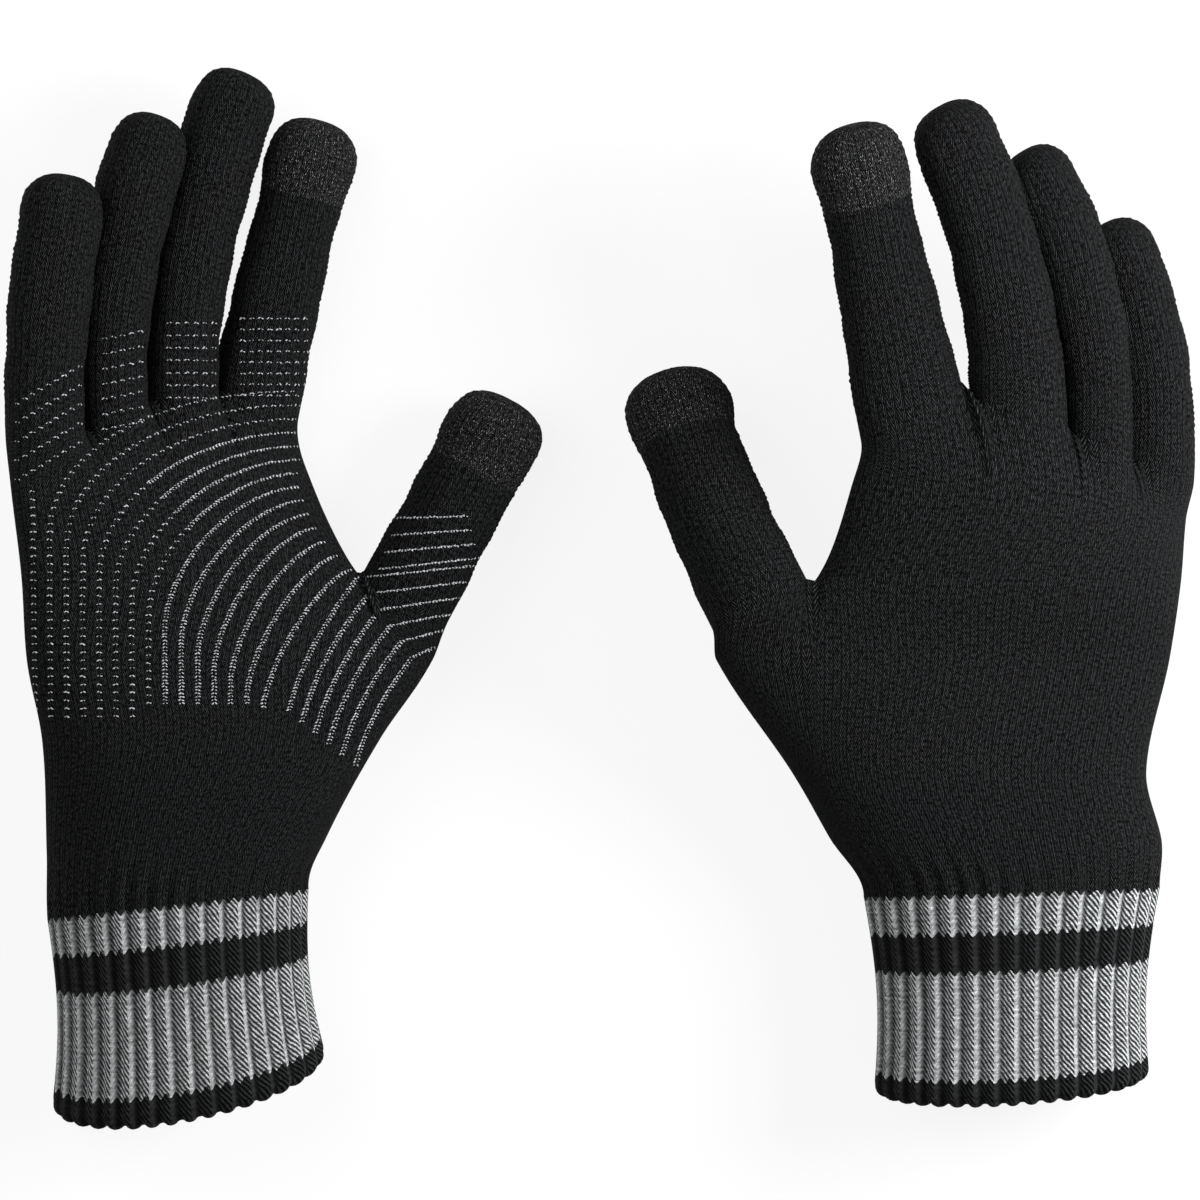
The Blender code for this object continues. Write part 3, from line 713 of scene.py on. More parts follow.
def cuff_points(g, depth, theta, inset):
    """Points of a glove's cuff, flat where it lies on the table.

    The arrays of depth below the wrist, angle and inset are all of one shape.
    """
    share = (depth / sum(CUFF_BANDS[g.name]))[..., None]
    little, thumb = plan_point(g.wrist[0]), plan_point(g.wrist[1])
    top_side = unit(thumb - little)
    slope = g.hem_slope * g.thumb_sign
    hem_side = np.array((math.cos(slope), math.sin(slope), 0.0)) * g.thumb_sign
    side = unit(top_side + (hem_side - top_side) * share)
    along = g.cuff_direction
    top_half = np.linalg.norm(thumb - little) / 2
    half_width = top_half + (g.hem_half_width - top_half) * share - CUFF_WAIST * np.sin(math.pi * share)
    half_height = CUFF_THICKNESS / 2 + CUFF_FLAT_DEPTH
    x = -np.cos(theta)[..., None]
    z = np.sin(theta)[..., None]
    inset = inset[..., None]
    points = (little + thumb) / 2 - along * depth[..., None] + UP * CUFF_THICKNESS / 2
    points = points + side * x * (half_width - inset) + UP * z * (half_height - inset)
    points[..., 2] = np.maximum(points[..., 2], inset[..., 0])
    return points - along * z * g.hem_droop * share


class Skin:
    """Collects grids of points with knit coordinates and makes one mesh object of them."""

    def __init__(self):
        self.verts = []
        self.faces = []
        self.uvs = []
        self.count = 0

    def grid(self, points, u, v, wrap=False, flip=False):
        """Quads over a grid; u and v hold one more column than the points if the grid wraps."""
        rows, columns, _ = points.shape
        spans = columns if wrap else columns - 1
        r, c = (a.ravel() for a in np.meshgrid(np.arange(rows - 1), np.arange(spans), indexing="ij"))
        corners = [(r, c), (r, c + 1), (r + 1, c + 1), (r + 1, c)]
        if flip:
            corners.reverse()
        self.verts.append(points.reshape(-1, 3))
        self.faces.append(np.stack([self.count + a * columns + b % columns for a, b in corners], axis=1))
        self.uvs.append(np.stack([np.stack((u[a, b], v[a, b]), axis=1) for a, b in corners], axis=1))
        self.count += rows * columns

    def tree(self, shift):
        verts = np.concatenate(self.verts) + shift
        return BVHTree.FromPolygons(verts.tolist(), np.concatenate(self.faces).tolist())

    def make(self, name, material, shift, thickness=0.0):
        """The welded mesh object in the shared frame, thickened towards its inside if asked."""
        mesh = bpy.data.meshes.new(name)
        verts = np.concatenate(self.verts) + shift
        mesh.from_pydata(verts.tolist(), [], np.concatenate(self.faces).tolist())
        layer = mesh.uv_layers.new(name="knit")
        layer.data.foreach_set("uv", np.concatenate(self.uvs).astype(np.float32).ravel())
        edit = bmesh.new()
        edit.from_mesh(mesh)
        bmesh.ops.remove_doubles(edit, verts=edit.verts, dist=WELD_DISTANCE)
        edit.to_mesh(mesh)
        edit.free()
        mesh.shade_smooth()
        mesh.materials.append(material)
        obj = add_object(name, mesh)
        if thickness:
            shell = obj.modifiers.new("wall", "SOLIDIFY")
            shell.thickness = thickness
            shell.offset = -1
            settle(obj)
        obj.data.set_sharp_from_angle(angle=SHARP_ANGLE)
        return obj


def add_object(name, data):
    obj = bpy.data.objects.new(name, data)
    bpy.context.scene.collection.objects.link(obj)
    return obj


def settle(obj):
    """Replace the object's mesh by what its modifiers make of it."""
    graph = bpy.context.evaluated_depsgraph_get()
    mesh = bpy.data.meshes.new_from_object(obj.evaluated_get(graph))
    obj.modifiers.clear()
    obj.data = mesh


def arc_lengths(points):
    """Lengths along rows of points from the first, as means over the rows."""
    steps = np.linalg.norm(np.diff(points, axis=1), axis=2).mean(axis=0)
    return np.concatenate(([0.0], np.cumsum(steps)))


class Dresser:
    """Makes the visible pieces of one glove."""

    def __init__(self, glove, materials):
        self.name = glove.name
        self.shape = GloveShape(glove)
        self.materials = materials
        self.flip = glove.thumb_sign < 0
        self.shift = np.array(ROW_SHIFT)
        self.trees = {}
        self.crowns = {}

    def dress(self):
        self.hand()
        for digit in self.shape.digits.values():
            self.digit(digit)
        self.cuff()

    def finish_piece(self, obj, nodes):
        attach(obj, f"{self.name}_glove")
        if nodes:
            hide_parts(*nodes)

    def hand(self):
        grids = self.shape.hand_grids()
        axis = (grids[0].mean(axis=1) + grids[2].mean(axis=1)) / 2
        skin = Skin()
        for face, lower, upper in ((1, *grids[:2]), (-1, *grids[2:])):
            palm_columns = upper.shape[1]
            u = arc_lengths(lower[-COUNTED_ROWS:]) / WALE
            lower_v = arc_lengths(lower.transpose(1, 0, 2)) / COURSE
            upper_v = lower_v[-1] + arc_lengths(upper.transpose(1, 0, 2)) / COURSE
            lower = self.pucker(lower, axis, lower_v * COURSE, face)
            flip = self.flip if face > 0 else not self.flip
            skin.grid(lower, *np.meshgrid(u, lower_v), flip=flip)
            skin.grid(upper, *np.meshgrid(u[:palm_columns], upper_v), flip=flip)
            if face > 0:
                self.note_crowns(u, palm_columns, upper_v[-1], lower_v[-1])
        self.trees["hand"] = skin.tree(self.shift)
        obj = skin.make(f"{self.name}_hand_knit", self.materials["black_knit"], self.shift, SKIN)
        self.finish_piece(obj, [f"{self.name}_hand"])

    def note_crowns(self, u, palm_columns, finger_v, thumb_v):
        """Keep the wale and course numbers that the hand ends with at each finger's crown."""
        for number, finger in enumerate(self.shape.glove.fingers):
            crown = number * (FINGER_HALF + 1) + FINGER_HALF // 2
            self.crowns[finger.name] = (u[crown], finger_v)
        self.crowns["thumb"] = (u[palm_columns + THUMB_HALF // 2], thumb_v)

    def pucker(self, grid, axis, heights, face):
        """Draw the plain knit above the wrist into the ribs of the cuff, fading out up the hand."""
        angles = self.shape.column_spread(self.shape.wrist_split()) * face
        theta, ribs = self.rib_angles()
        valley = 1 - rib_profile(np.interp(angles % (2 * math.pi), theta, ribs))
        fade = 1 - smooth_step(heights / PUCKER_HEIGHT)
        inward = unit(axis[:, None] - grid)
        return grid + inward * (valley[None] * fade[:, None] * PUCKER_DEPTH)[..., None]

    def body(self, digit):
        return f"{self.name}_thumb" if digit.name == "thumb" else f"{self.name}_{digit.name}_finger"

    def blend_span(self, digit):
        start, end = digit.frame_at([0.0, FLEX_LENGTH])[0] + self.shift
        return start, end

    def digit(self, digit):
        """A finger's knit from root to tip, with the touch tip of index and thumb as its own piece."""
        half = THUMB_HALF if digit.name == "thumb" else FINGER_HALF
        theta = np.linspace(0, 2 * math.pi, 2 * half, endpoint=False)
        length = digit.length
        capped = digit.name in ("index", "thumb")
        body_end = length - (TOUCH_TIP_LENGTH if capped else TIP_ROUNDING)
        tip = length - TIP_ROUNDING * (1 - np.sin(np.linspace(0, math.pi / 2, TIP_ROWS)))
        rows = np.arange(0, body_end, COURSE / 2)
        rows[-1] = body_end
        body_rows = len(rows)
        if capped:
            rows = np.append(rows, np.arange(body_end + COURSE / 2, length - TIP_ROUNDING, COURSE / 2))
        rows = np.concatenate((rows, tip if capped else tip[1:]))
        points = digit.rings(rows, theta)
        points += self.unevenness(digit, points, rows)
        around = arc_lengths(digit.rings([length / 2], np.append(theta, theta[0]))) / WALE
        crown_u, crown_v = self.crowns[digit.name]
        u, v = np.meshgrid(around - around[half // 2] + crown_u, rows / COURSE + crown_v)
        if capped:
            part = slice(body_rows - 1, None)
            obj = self.sleeve(points, u, v, part, f"{digit.name}_touch_knit", "touch_knit")
            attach(obj, self.body(digit))
            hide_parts(f"{self.name}_{digit.name}_touch_tip")
        part = slice(0, body_rows if capped else None)
        obj = self.sleeve(points, u, v, part, f"{digit.name}_knit", "black_knit", digit.name)
        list(self.blend_span(digit))
        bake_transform(obj)
        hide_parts(f"{self.name}_{digit.name}_root", f"{self.name}_{digit.name}_stall")

    def sleeve(self, points, u, v, part, name, material, tree=None):
        """The knit over some of a finger's rows."""
        skin = Skin()
        skin.grid(points[part], u[part], v[part], wrap=True, flip=self.flip)
        if tree:
            self.trees[tree] = skin.tree(self.shift)
        return skin.make(f"{self.name}_{name}", self.materials[material], self.shift, SKIN)

    def unevenness(self, digit, points, rows):
        """Small displacements of a finger's knit: courses, slackness and fuzz, none at the root."""
        rng = np.random.default_rng(ROUGHNESS_SEED)
        outward = points - digit.frame_at(rows)[0][:, None]
        length = np.linalg.norm(outward, axis=2, keepdims=True)
        outward = outward / np.maximum(length, MM)
        start = smooth_step(rows / FLEX_LENGTH)[:, None]
        courses = -COURSE_RELIEF * (np.arange(len(rows)) % 2)[:, None] * np.ones(points.shape[1])
        turns = np.linspace(0, 2 * math.pi, points.shape[1], endpoint=False)[None]
        long, short = (rows[:, None] / wave for wave in WAVE_LENGTHS)
        waves = WAVE_HEIGHT * (np.sin(long + np.sin(turns)) + np.sin(short + 2 * np.cos(turns))) / 2
        fuzz = rng.normal(0, ROUGH_HEIGHT, points.shape[:2])
        return outward * ((courses + waves + fuzz) * start)[..., None]

    def rib_angles(self):
        """Angles round the cuff that part it into equal lengths of edge, with the rib number of each."""
        fine = np.linspace(0, 2 * math.pi, CUFF_SAMPLES)
        depth = np.full_like(fine, sum(CUFF_BANDS[self.name]) / 2)
        ring = cuff_points(self.shape.glove, depth, fine, np.zeros_like(fine))
        lengths = arc_lengths(ring[None])
        places = np.linspace(0, lengths[-1], RIBS * RIB_COLUMNS + 1)
        ribs = np.linspace(0, RIBS, RIBS * RIB_COLUMNS + 1)
        return np.interp(places, lengths, fine), RIBS - ribs if self.flip else ribs

    def cuff(self):
        theta, ribs = self.rib_angles()
        depth = 0.0
        upper, middle, lower, _ = CUFF_BANDS[self.name]
        bands = (
            ("wrist_course", WRIST_COURSE, "black_knit", "black_rib"),
            ("cuff_upper_stripe", upper - WRIST_COURSE, "grey_knit", "grey_rib"),
            ("cuff_middle_stripe", middle, "black_knit", "black_rib"),
            ("cuff_lower_band", lower, "grey_knit", "grey_rib"),
        )
        for number, (band, tall, slot, material) in enumerate(bands):
            zigzag = (0.0 if number == 0 else 1.0, 1.0)
            ends = [depth + end * tall + rib_edge(ribs) * waving for end, waving in zip((0, 1), zigzag)]
            count = int(tall / RIB_COURSE * RIB_ROWS) + 2
            share = np.linspace(1, 0, count)[:, None]
            rows = ends[0] + (ends[1] - ends[0]) * share
            obj = self.rib_piece(band, rows, np.zeros_like(rows), theta, ribs, material, SKIN)
            self.finish_piece(obj, [f"{self.name}_{band}"] if number else [])
            depth += tall
        self.hem(depth, theta, ribs)

    def hem(self, depth, theta, ribs):
        """The folded hem as a closed roll round its elastic."""
        hem = CUFF_BANDS[self.name][-1]
        end = depth + hem
        turn = HEM_THICKNESS / 2
        top = depth + rib_edge(ribs)
        wall = np.linspace(0, 1, int(hem / RIB_COURSE * RIB_ROWS))[:, None]
        outer = top + (end - turn - top) * wall
        rows = [outer]
        insets = [np.zeros_like(outer)]
        flat = np.ones_like(ribs)
        for angle in np.linspace(0, math.pi, HEM_TURN_ROWS)[1:]:
            scallop = HEM_SCALLOP * (1 - rib_profile(ribs)) * math.sin(angle)
            rows.append((end - turn + turn * math.sin(angle) - scallop)[None])
            insets.append(flat[None] * (turn - turn * math.cos(angle)))
        for deep, inset in ((HEM_INNER_EDGE, HEM_THICKNESS), (HEM_LIP, HEM_THICKNESS / 2)):
            rows.append(flat[None] * (depth + deep))
            insets.append(flat[None] * inset)
        rows.append(outer[:1])
        insets.append(np.zeros_like(outer[:1]))
        rows, insets = np.concatenate(rows)[::-1], np.concatenate(insets)[::-1]
        obj = self.rib_piece("cuff_hem", rows, insets, theta, ribs, "black_rib", 0.0)
        self.finish_piece(obj, [f"{self.name}_cuff_hem"])

    def rib_piece(self, name, depth, inset, theta, ribs, material, thickness):
        """A ribbed ring: depth and inset have a row for each course line, a column for each rib angle."""
        courses = depth / RIB_COURSE
        outside = np.clip(1 - inset / HEM_THICKNESS, 0, 1)
        relief = RIB_DEPTH * (1 - rib_profile(ribs)) * outside
        angles = np.broadcast_to(theta, depth.shape)
        points = cuff_points(self.shape.glove, depth, angles, inset + relief)
        skin = Skin()
        u = np.broadcast_to(ribs, depth.shape)
        skin.grid(points[:, :-1], u, courses, wrap=True, flip=self.flip)
        return skin.make(f"{self.name}_{name}_knit", self.materials[material], self.shift, thickness)


def rib_place(ribs):
    """Place across each rib from 0 to 1, clipped to the rib's own share of the pitch."""
    return np.clip((ribs % 1 - 0.5) / RIB_SHARE + 0.5, 0, 1)


def rib_profile(ribs):
    """1 on the crest of each rib and 0 in the valleys."""
    return np.sin(math.pi * rib_place(ribs)) ** RIB_FLATNESS


def rib_edge(ribs):
    """How far a stripe's edge reaches below its mean line, with a point on both legs of each rib."""
    return -EDGE_ZIGZAG / 2 * np.cos(4 * math.pi * (ribs + RIB_TURN))


class Nodes:
    """Short ways to add shader nodes to a material or a world."""

    def __init__(self, owner):
        owner.use_nodes = True
        self.owner = owner
        self.tree = owner.node_tree
        self.shader = self.tree.nodes.get("Principled BSDF")

    def put(self, socket, value):
        if hasattr(value, "is_output"):
            self.tree.links.new(value, socket)
        else:
            socket.default_value = value

    def fill(self, node, **inputs):
        """Set or link a node's inputs, which are named with underscores for spaces."""
        for name, value in inputs.items():
            self.put(node.inputs[name.replace("_", " ")], value)
        return node

    def add(self, kind, **inputs):
        return self.fill(self.tree.nodes.new(kind), **inputs)

    def math(self, operation, *values):
        node = self.add("ShaderNodeMath")
        node.operation = operation
        for socket, value in zip(node.inputs, values):
            self.put(socket, value)
        return node.outputs[0]

    def ramp(self, value, start, end, low, high):
        """A smooth change from low to high as the value goes from start to end."""
        ends = {"From_Min": start, "From_Max": end, "To_Min": low, "To_Max": high}
        node = self.add("ShaderNodeMapRange", Value=value, **ends)
        node.interpolation_type = "SMOOTHSTEP"
        return node.outputs["Result"]

    def noise(self, vector, scale, detail):
        return self.add("ShaderNodeTexNoise", Vector=vector, Scale=scale, Detail=detail).outputs["Fac"]

    def mix(self, share, first, second):
        """A colour between two others."""
        node = self.add("ShaderNodeMix", Factor=share)
        node.data_type = "RGBA"
        for socket, value in zip(MIX_COLOURS, (first, second)):
            self.put(node.inputs[socket], value)
        return node.outputs[MIX_RESULT]

    def mix_shaders(self, share, first, second):
        node = self.add("ShaderNodeMixShader")
        for socket, value in zip(node.inputs, (share, first, second)):
            self.put(socket, value)
        return node.outputs[0]

    def bump(self, height, depth, strength, **normal):
        node = self.add("ShaderNodeBump", Height=height, Distance=depth, Strength=strength, **normal)
        return node.outputs[0]

    def knit_coordinates(self):
        node = self.add("ShaderNodeUVMap")
        node.uv_map = "knit"
        split = self.add("ShaderNodeSeparateXYZ", Vector=node.outputs[0])
        return node.outputs[0], split.outputs[0], split.outputs[1]

    def place(self):
        return self.add("ShaderNodeTexCoord").outputs["Object"]


def new_material(name):
    return Nodes(bpy.data.materials.new(name))


def rib_stitch(n, u):
    """How the strands rise across a rib, how bright its legs are with painted shade towards the valleys, and
    the right leg's least brightness, which paints a highlight along it.
    """
    across = n.math("FRACT", n.math("ADD", u, RIB_TURN))
    place = n.math("SUBTRACT", across, RIB_MIDDLE)
    left = n.math("LESS_THAN", place, 0.0)
    slant = n.math("MULTIPLY_ADD", left, RIB_SLANTS[0] - RIB_SLANTS[1], RIB_SLANTS[1])
    left_side = n.math("DIVIDE", place, -RIB_MIDDLE)
    right_side = n.math("DIVIDE", place, 1 - RIB_MIDDLE)
    rise = n.math("MULTIPLY", n.math("MAXIMUM", left_side, right_side), slant)
    # Painted shade: the left leg darkens into the valley before it, and the right leg into the valley after
    # it
    leg = n.ramp(across, *RIB_VALLEY_SHADE_SPAN, VALLEY_PAINTED_SHADE, 1.0)
    leg = n.math("MULTIPLY", leg, n.ramp(right_side, *RIGHT_LEG_SHADE_FADE, 1.0, VALLEY_PAINTED_SHADE))
    # Painted highlight: the right leg keeps a least brightness, so it shows as a lit line down the rib
    floor = n.math("MULTIPLY_ADD", left, -RIGHT_LEG_HIGHLIGHT_FLOOR, RIGHT_LEG_HIGHLIGHT_FLOOR)
    return rise, leg, floor


def plain_stitch(n, u):
    """How the strands rise to both sides of a wale, how bright its legs are, and no least brightness."""
    place = n.math("SUBTRACT", n.math("FRACT", u), 0.5)
    side = n.math("MULTIPLY", n.math("ABSOLUTE", place), 2.0)
    stagger = n.math("MULTIPLY", n.math("FLOOR", u), WALE_STAGGER)
    rise = n.math("MULTIPLY_ADD", side, -KNIT_SLANT, stagger)
    leg = n.math("SINE", n.math("MULTIPLY", n.math("MULTIPLY_ADD", side, *LEG_WIDTH), math.pi))
    return rise, leg, 0.0


def knit_material(name, strand, gap, rib, fleck=None, roughness=KNIT_ROUGHNESS):
    """A knit of V stitches drawn from the piece's wale and course numbers."""
    n = new_material(name)
    vector, u, v = n.knit_coordinates()
    rise, leg, floor = rib_stitch(n, u) if rib else plain_stitch(n, u)
    sharpness, tone_range = (RIB_SHARPNESS, RIB_TONE) if rib else (STRAND_SHARPNESS, KNIT_TONE)
    jitter = n.math("MULTIPLY_ADD", n.noise(vector, *JITTER_NOISE), *JITTER)
    phase = n.math("ADD", n.math("ADD", v, rise), jitter)
    wave = n.math("COSINE", n.math("MULTIPLY", phase, 2 * math.pi))
    strands = n.math("POWER", n.math("MULTIPLY_ADD", wave, 0.5, 0.5), sharpness)
    # On ribs the mask carries the painted valley shade and the painted highlight of the right leg
    mask = n.math("MULTIPLY", n.math("MAXIMUM", strands, floor), leg)
    tone = n.math("MULTIPLY_ADD", n.noise(vector, *TONE_NOISE), *tone_range)
    colour = n.mix(n.math("MULTIPLY", mask, n.math("MAXIMUM", tone, 0.0)), gap, strand)
    if fleck:
        fleck_colour, threshold, strength = fleck
        flecks = n.math("GREATER_THAN", n.noise(vector, *FLECK_NOISE), threshold)
        share = n.math("MULTIPLY", flecks, n.math("MULTIPLY", mask, strength))
        colour = n.mix(share, colour, fleck_colour)
    loose = n.bump(n.noise(n.place(), *LOOSE_NOISE), *LOOSE_BUMP)
    stitched = n.bump(mask, *STITCH_BUMP, Normal=loose)
    n.fill(n.shader, Base_Color=colour, Normal=stitched)
    n.fill(n.shader, Roughness=roughness, Specular_IOR_Level=KNIT_SPECULAR)
    return n.owner


def grained_material(name, noise, colours, roughness, bump=None):
    """A material that wavers between two colours, with a bump of the same grain if one is given."""
    n = new_material(name)
    grain = n.noise(n.place(), *noise)
    n.fill(n.shader, Base_Color=n.mix(grain, *colours), Roughness=roughness)
    if bump:
        n.fill(n.shader, Normal=n.bump(grain, *bump))
    return n.owner


def make_materials():
    # The grip's grain mixes pale speckles into the silicone's colour as painted glints
    silicone = (SILICONE_GRAIN_AND_GLINT_NOISE, SILICONE_WITH_GLINTS, SILICONE_ROUGHNESS, SILICONE_BUMP)
    return {
        "black_knit": knit_material("black_knit_skin", *BLACK_YARN, False),
        "touch_knit": knit_material("touch_knit_skin", *TOUCH_YARN, False, TOUCH_FLECK, TOUCH_ROUGHNESS),
        "black_rib": knit_material("black_rib_skin", *BLACK_RIB_YARN, True),
        "grey_rib": knit_material("grey_rib_skin", *GREY_YARN, True, GREY_FLECK),
        "grip": grained_material("grip_silicone", *silicone),
        "elastic": grained_material("elastic_yarn", ELASTIC_NOISE, ELASTIC, ELASTIC_ROUGHNESS),
    }


def white_world():
    """Surroundings that the camera sees as white and that light the gloves softly."""
    world = bpy.data.worlds.new("studio")
    bpy.context.scene.world = world
    n = Nodes(world)
    n.tree.nodes.clear()
    path = n.add("ShaderNodeLightPath").outputs
    clear = n.math("MAXIMUM", path["Is Glossy Ray"], path["Is Transmission Ray"])
    seen = n.math("MAXIMUM", path["Is Camera Ray"], clear)
    ambient = n.add("ShaderNodeBackground", Color=WHITE, Strength=AMBIENT)
    white = n.add("ShaderNodeBackground", Color=WHITE, Strength=1.0)
    n.add("ShaderNodeOutputWorld", Surface=n.mix_shaders(seen, ambient.outputs[0], white.outputs[0]))


def light_stage(middle):
    """Soft lamps above the gloves and a pale floor below them."""
    for name, place, size, power in LIGHTS:
        lamp = bpy.data.lights.new(name, "AREA")
        lamp.shape = "DISK"
        lamp.size = size
        lamp.energy = power
        holder = add_object(name, lamp)
        holder.location = middle + Vector(place)
        holder.rotation_mode = "QUATERNION"
        holder.rotation_quaternion = (-Vector(place)).to_track_quat("-Z", "Y")
        holder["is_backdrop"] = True
    bpy.ops.mesh.primitive_plane_add(size=FLOOR_SIZE, location=(middle.x, middle.y, -FLOOR_DROP))
    floor = bpy.context.object
    floor.name = "floor"
    floor.data.materials.append(floor_material())
    floor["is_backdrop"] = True


def floor_material():
    """White paper that shows part of the shadow that falls on it."""
    n = new_material("floor_paper")
    n.fill(n.shader, Base_Color=FLOOR_WHITE, Roughness=1.0, Specular_IOR_Level=0.0)
    glow = n.add("ShaderNodeEmission", Color=WHITE, Strength=1.0)
    seen = n.math("MULTIPLY", n.add("ShaderNodeLightPath").outputs["Is Camera Ray"], FLOOR_GLOW)
    paper = n.mix_shaders(seen, n.shader.outputs[0], glow.outputs[0])
    n.fill(n.tree.nodes["Material Output"], Surface=paper)
    return n.owner


def place_camera(shift):
    """A long lens straight above the middle of the picture."""
    camera = bpy.data.cameras.new("camera")
    camera.sensor_width = SENSOR_WIDTH
    camera.lens = LENS
    span = 2 * IMAGE_MIDDLE / PIXELS_PER_MM * MM
    distance = LENS / SENSOR_WIDTH * span
    camera.clip_end = CAMERA_REACH * distance
    holder = add_object("camera", camera)
    holder.location = (shift[0], shift[1], distance + CAMERA_FOCUS_LEVEL)
    bpy.context.scene.camera = holder


def resample(line, pitch):
    """Points at even steps along a line of plan points."""
    line = np.asarray(line, float)
    lengths = np.concatenate(([0.0], np.cumsum(np.linalg.norm(np.diff(line, axis=0), axis=1))))
    places = np.arange(0.0, lengths[-1], pitch)
    return np.stack([np.interp(places, lengths, line[:, n]) for n in range(2)], axis=1)


def stepped(places, number):
    """The place that lies a number of steps on from the first."""
    first, step = np.array(places)
    return first + step * number


def column_lines():
    """The print's lines that rise up the palm and curve over towards the index finger."""
    lines = [np.array(OUTER_LINE)]
    angle = np.linspace(0, math.pi / 2, CURVE_POINTS)
    for k in range(PALM_LINES):
        foot = FIRST_FOOT + FOOT_STEP * k
        bottom = FOOT_LEVELS[0] if k < SWING_START else FOOT_LEVELS[1]
        end_x = FIRST_END[0] + SWING * max(0, k - SWING_START) ** 2
        end_y = FIRST_END[1] + END_STEP * k
        turn = TURN_LEVEL + (foot - TURN_FOOT) * TURN_SLOPE
        power = 2 - (foot - TURN_FOOT) / ROUNDNESS_FADE
        x = end_x - (end_x - foot) * np.cos(angle) ** (2 / power)
        y = turn - (turn - end_y) * np.sin(angle) ** (2 / power)
        lines.append(np.concatenate(([[foot, bottom]], np.stack((x, y), axis=1))))
    return lines


def thumb_lines():
    """The lines that rise over the heel of the thumb and turn along it, and the rows above them."""
    lines = []
    share = np.linspace(0, 1, HEEL_POINTS)[:, None]
    for k in range(HEEL_LINES):
        foot, bend, end = (stepped(places, k) for places in (HEEL_FOOT, HEEL_BEND, HEEL_END))
        control = foot + (bend - foot) * HEEL_SWELL
        rise = (1 - share) ** 2 * foot + 2 * share * (1 - share) * control + share**2 * bend
        lines.append(np.concatenate((rise, bend + (end - bend) * share[1:])))
    for k in range(THUMB_ROWS):
        lines.append(np.array((stepped(ROW_START, k), stepped(ROW_END, k))))
    return lines


def finger_lines():
    """The rows of print across the roots of the fingers."""
    lines = []
    for middle, first, last, step, slope, half in FINGER_ROWS:
        for y in np.arange(first, last, step):
            lines.append(np.array(((middle - half, y - slope * half), (middle + half, y + slope * half))))
    return lines


class GripPrint:
    """Sets raised silicone beads along the print's lines on one glove's skins."""

    def __init__(self, dresser, face, to_plan):
        self.dresser = dresser
        self.face = face
        self.to_plan = to_plan
        self.random = random.Random(PRINT_SEED)
        self.bead_shape, self.bead_faces = bead_template()
        self.beads = {}

    def add(self, line, pitch):
        for pixel in resample(line, pitch):
            for leg in (-1, 1):
                jitter = [self.random.uniform(-1, 1) * PRINT_JITTER for _ in range(2)]
                spot = self.to_plan(pixel) + np.array(jitter) + (leg * LEG_OFFSET, 0.0)
                self.bead(spot, -leg * LEG_TILT + self.random.uniform(-TILT_JITTER, TILT_JITTER))

    def bead(self, spot, tilt):
        """A bead on the highest skin at a place in plan, or the lowest on a glove that lies palm down."""
        origin = Vector((spot[0], spot[1], self.face * RAY_HEIGHT))
        hits = []
        for name, tree in self.dresser.trees.items():
            place, normal, _, distance = tree.ray_cast(origin, Vector((0, 0, -self.face)))
            if place is not None:
                hits.append((distance, name, place, normal))
        if not hits:
            return
        _, name, place, normal = min(hits, key=lambda hit: hit[0])
        if normal.z * self.face < 0:
            normal = -normal
        if normal.z * self.face < STEEPEST:
            return
        along = Vector((math.cos(tilt), math.sin(tilt), 0.0))
        along = (along - normal * along.dot(normal)).normalized()
        side = normal.cross(along)
        size = self.random.uniform(*BEAD_SIZES)
        frame_of_bead = np.array((along * BEAD_LENGTH, side * BEAD_WIDTH, normal * BEAD_HEIGHT)) * size
        self.beads.setdefault(name, []).append(np.array(place) + self.bead_shape @ frame_of_bead)

    def make(self, material):
        glove = self.dresser.name
        for name, beads in self.beads.items():
            faces = []
            for number in range(len(beads)):
                first = number * len(self.bead_shape)
                faces.extend([[v + first for v in face] for face in self.bead_faces])
            mesh = bpy.data.meshes.new(f"{glove}_{name}_grip")
            mesh.from_pydata(np.concatenate(beads).tolist(), [], faces)
            mesh.shade_smooth()
            mesh.materials.append(material)
            obj = add_object(f"{glove}_{name}_grip", mesh)
            if name == "hand":
                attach(obj, f"{glove}_glove")
            else:
                digit = self.dresser.shape.digits[name]
                self.dresser.body(digit)
                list(self.dresser.blend_span(digit))
                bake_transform(obj)


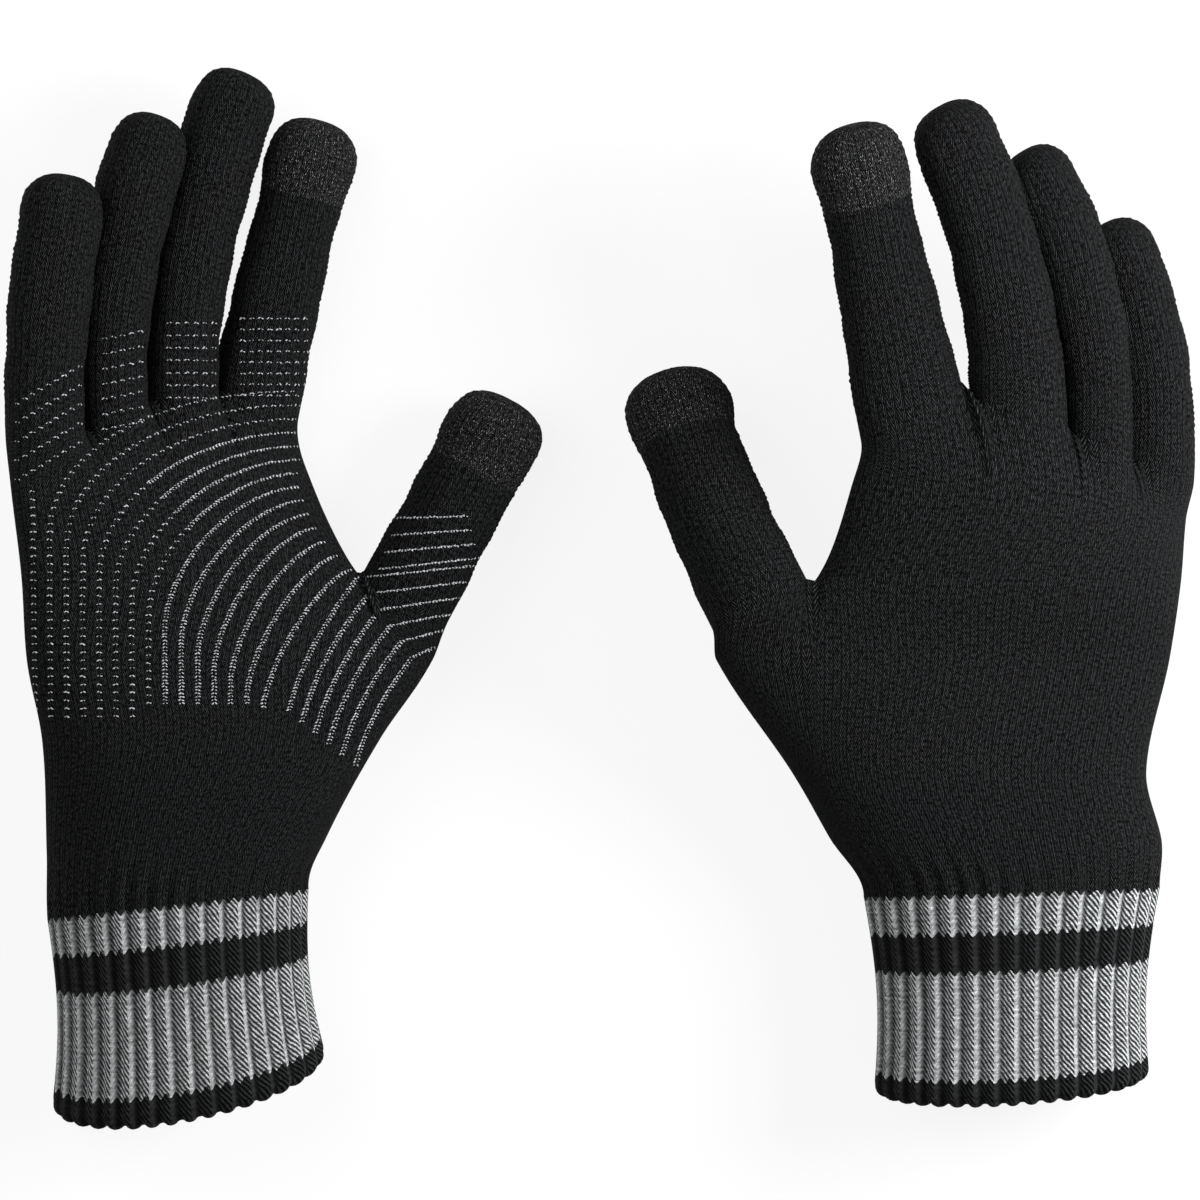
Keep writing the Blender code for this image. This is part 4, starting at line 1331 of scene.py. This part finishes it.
def bead_template():
    """A bead's points and faces: a base ring, a shoulder ring and a top."""
    angles = np.linspace(0, 2 * math.pi, BEAD_SIDES, endpoint=False)
    ring = np.stack((np.cos(angles), np.sin(angles), np.zeros_like(angles)), axis=1)
    base = ring + (0, 0, -BEAD_SINK)
    shoulder = ring * SHOULDER_WIDTH + (0, 0, SHOULDER_HEIGHT)
    shape = np.concatenate((base, shoulder, [(0, 0, 1.0)]))
    faces = [list(range(BEAD_SIDES))[::-1]]
    for n in range(BEAD_SIDES):
        after = (n + 1) % BEAD_SIDES
        faces.append([n, after, BEAD_SIDES + after, BEAD_SIDES + n])
        faces.append([BEAD_SIDES + n, BEAD_SIDES + after, 2 * BEAD_SIDES])
    return shape, faces


def print_grip(dressers, material):
    """The grip print on both palms, laid out on the one in view and carried over to the other."""
    def seen(pixel):
        return (pixel - IMAGE_MIDDLE) * (1, -1) / PIXELS_PER_MM * MM + dressers[0].shift[:2]

    first, second = (np.array(landmarks(d.shape)) + d.shift[:2] for d in dressers)
    affine = np.linalg.lstsq(np.column_stack((first, np.ones(len(first)))), second, rcond=None)[0]

    def hidden(pixel):
        return np.append(seen(pixel), 1.0) @ affine

    for dresser, face, to_plan in ((dressers[0], 1, seen), (dressers[1], -1, hidden)):
        grip = GripPrint(dresser, face, to_plan)
        for number, line in enumerate(column_lines()):
            turn = LINE_TURN if DOTTED_LINES <= number < SPARSE_LINES else len(line)
            grip.add(line[:turn], SPARSE_PITCH if number < SPARSE_LINES else DENSE_PITCH)
            if turn < len(line):
                grip.add(line[turn - 1 :], DENSE_PITCH)
        for line in thumb_lines():
            grip.add(line, DENSE_PITCH)
        for line in finger_lines():
            grip.add(line, FINGER_PITCH)
        grip.make(material)


def landmarks(shape):
    """Places in plan that both gloves have: wrist, palm edge, crotch, finger roots and thumb."""
    g = shape.glove
    points = [*g.wrist, g.palm_edge, g.thumb_crotch, *(f.root for f in g.fingers)]
    points += [shape.thumb.root, g.thumb_tip]
    return [np.array(p) * MM for p in points]


def main():
    bpy.context.scene.view_settings.view_transform = "Standard"
    materials = make_materials()
    dressers = [Dresser(g, materials) for g in (PALM_UP, BACK_UP)]
    for dresser in dressers:
        dresser.dress()
        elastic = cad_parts[f"{dresser.name}_hem_elastic"]
        elastic.data.materials.clear()
        elastic.data.materials.append(materials["elastic"])
    print_grip(dressers, materials["grip"])
    low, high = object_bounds()
    white_world()
    light_stage(Vector(((low.x + high.x) / 2, (low.y + high.y) / 2, 0.0)))
    place_camera(dressers[0].shift)
    low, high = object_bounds()


main()
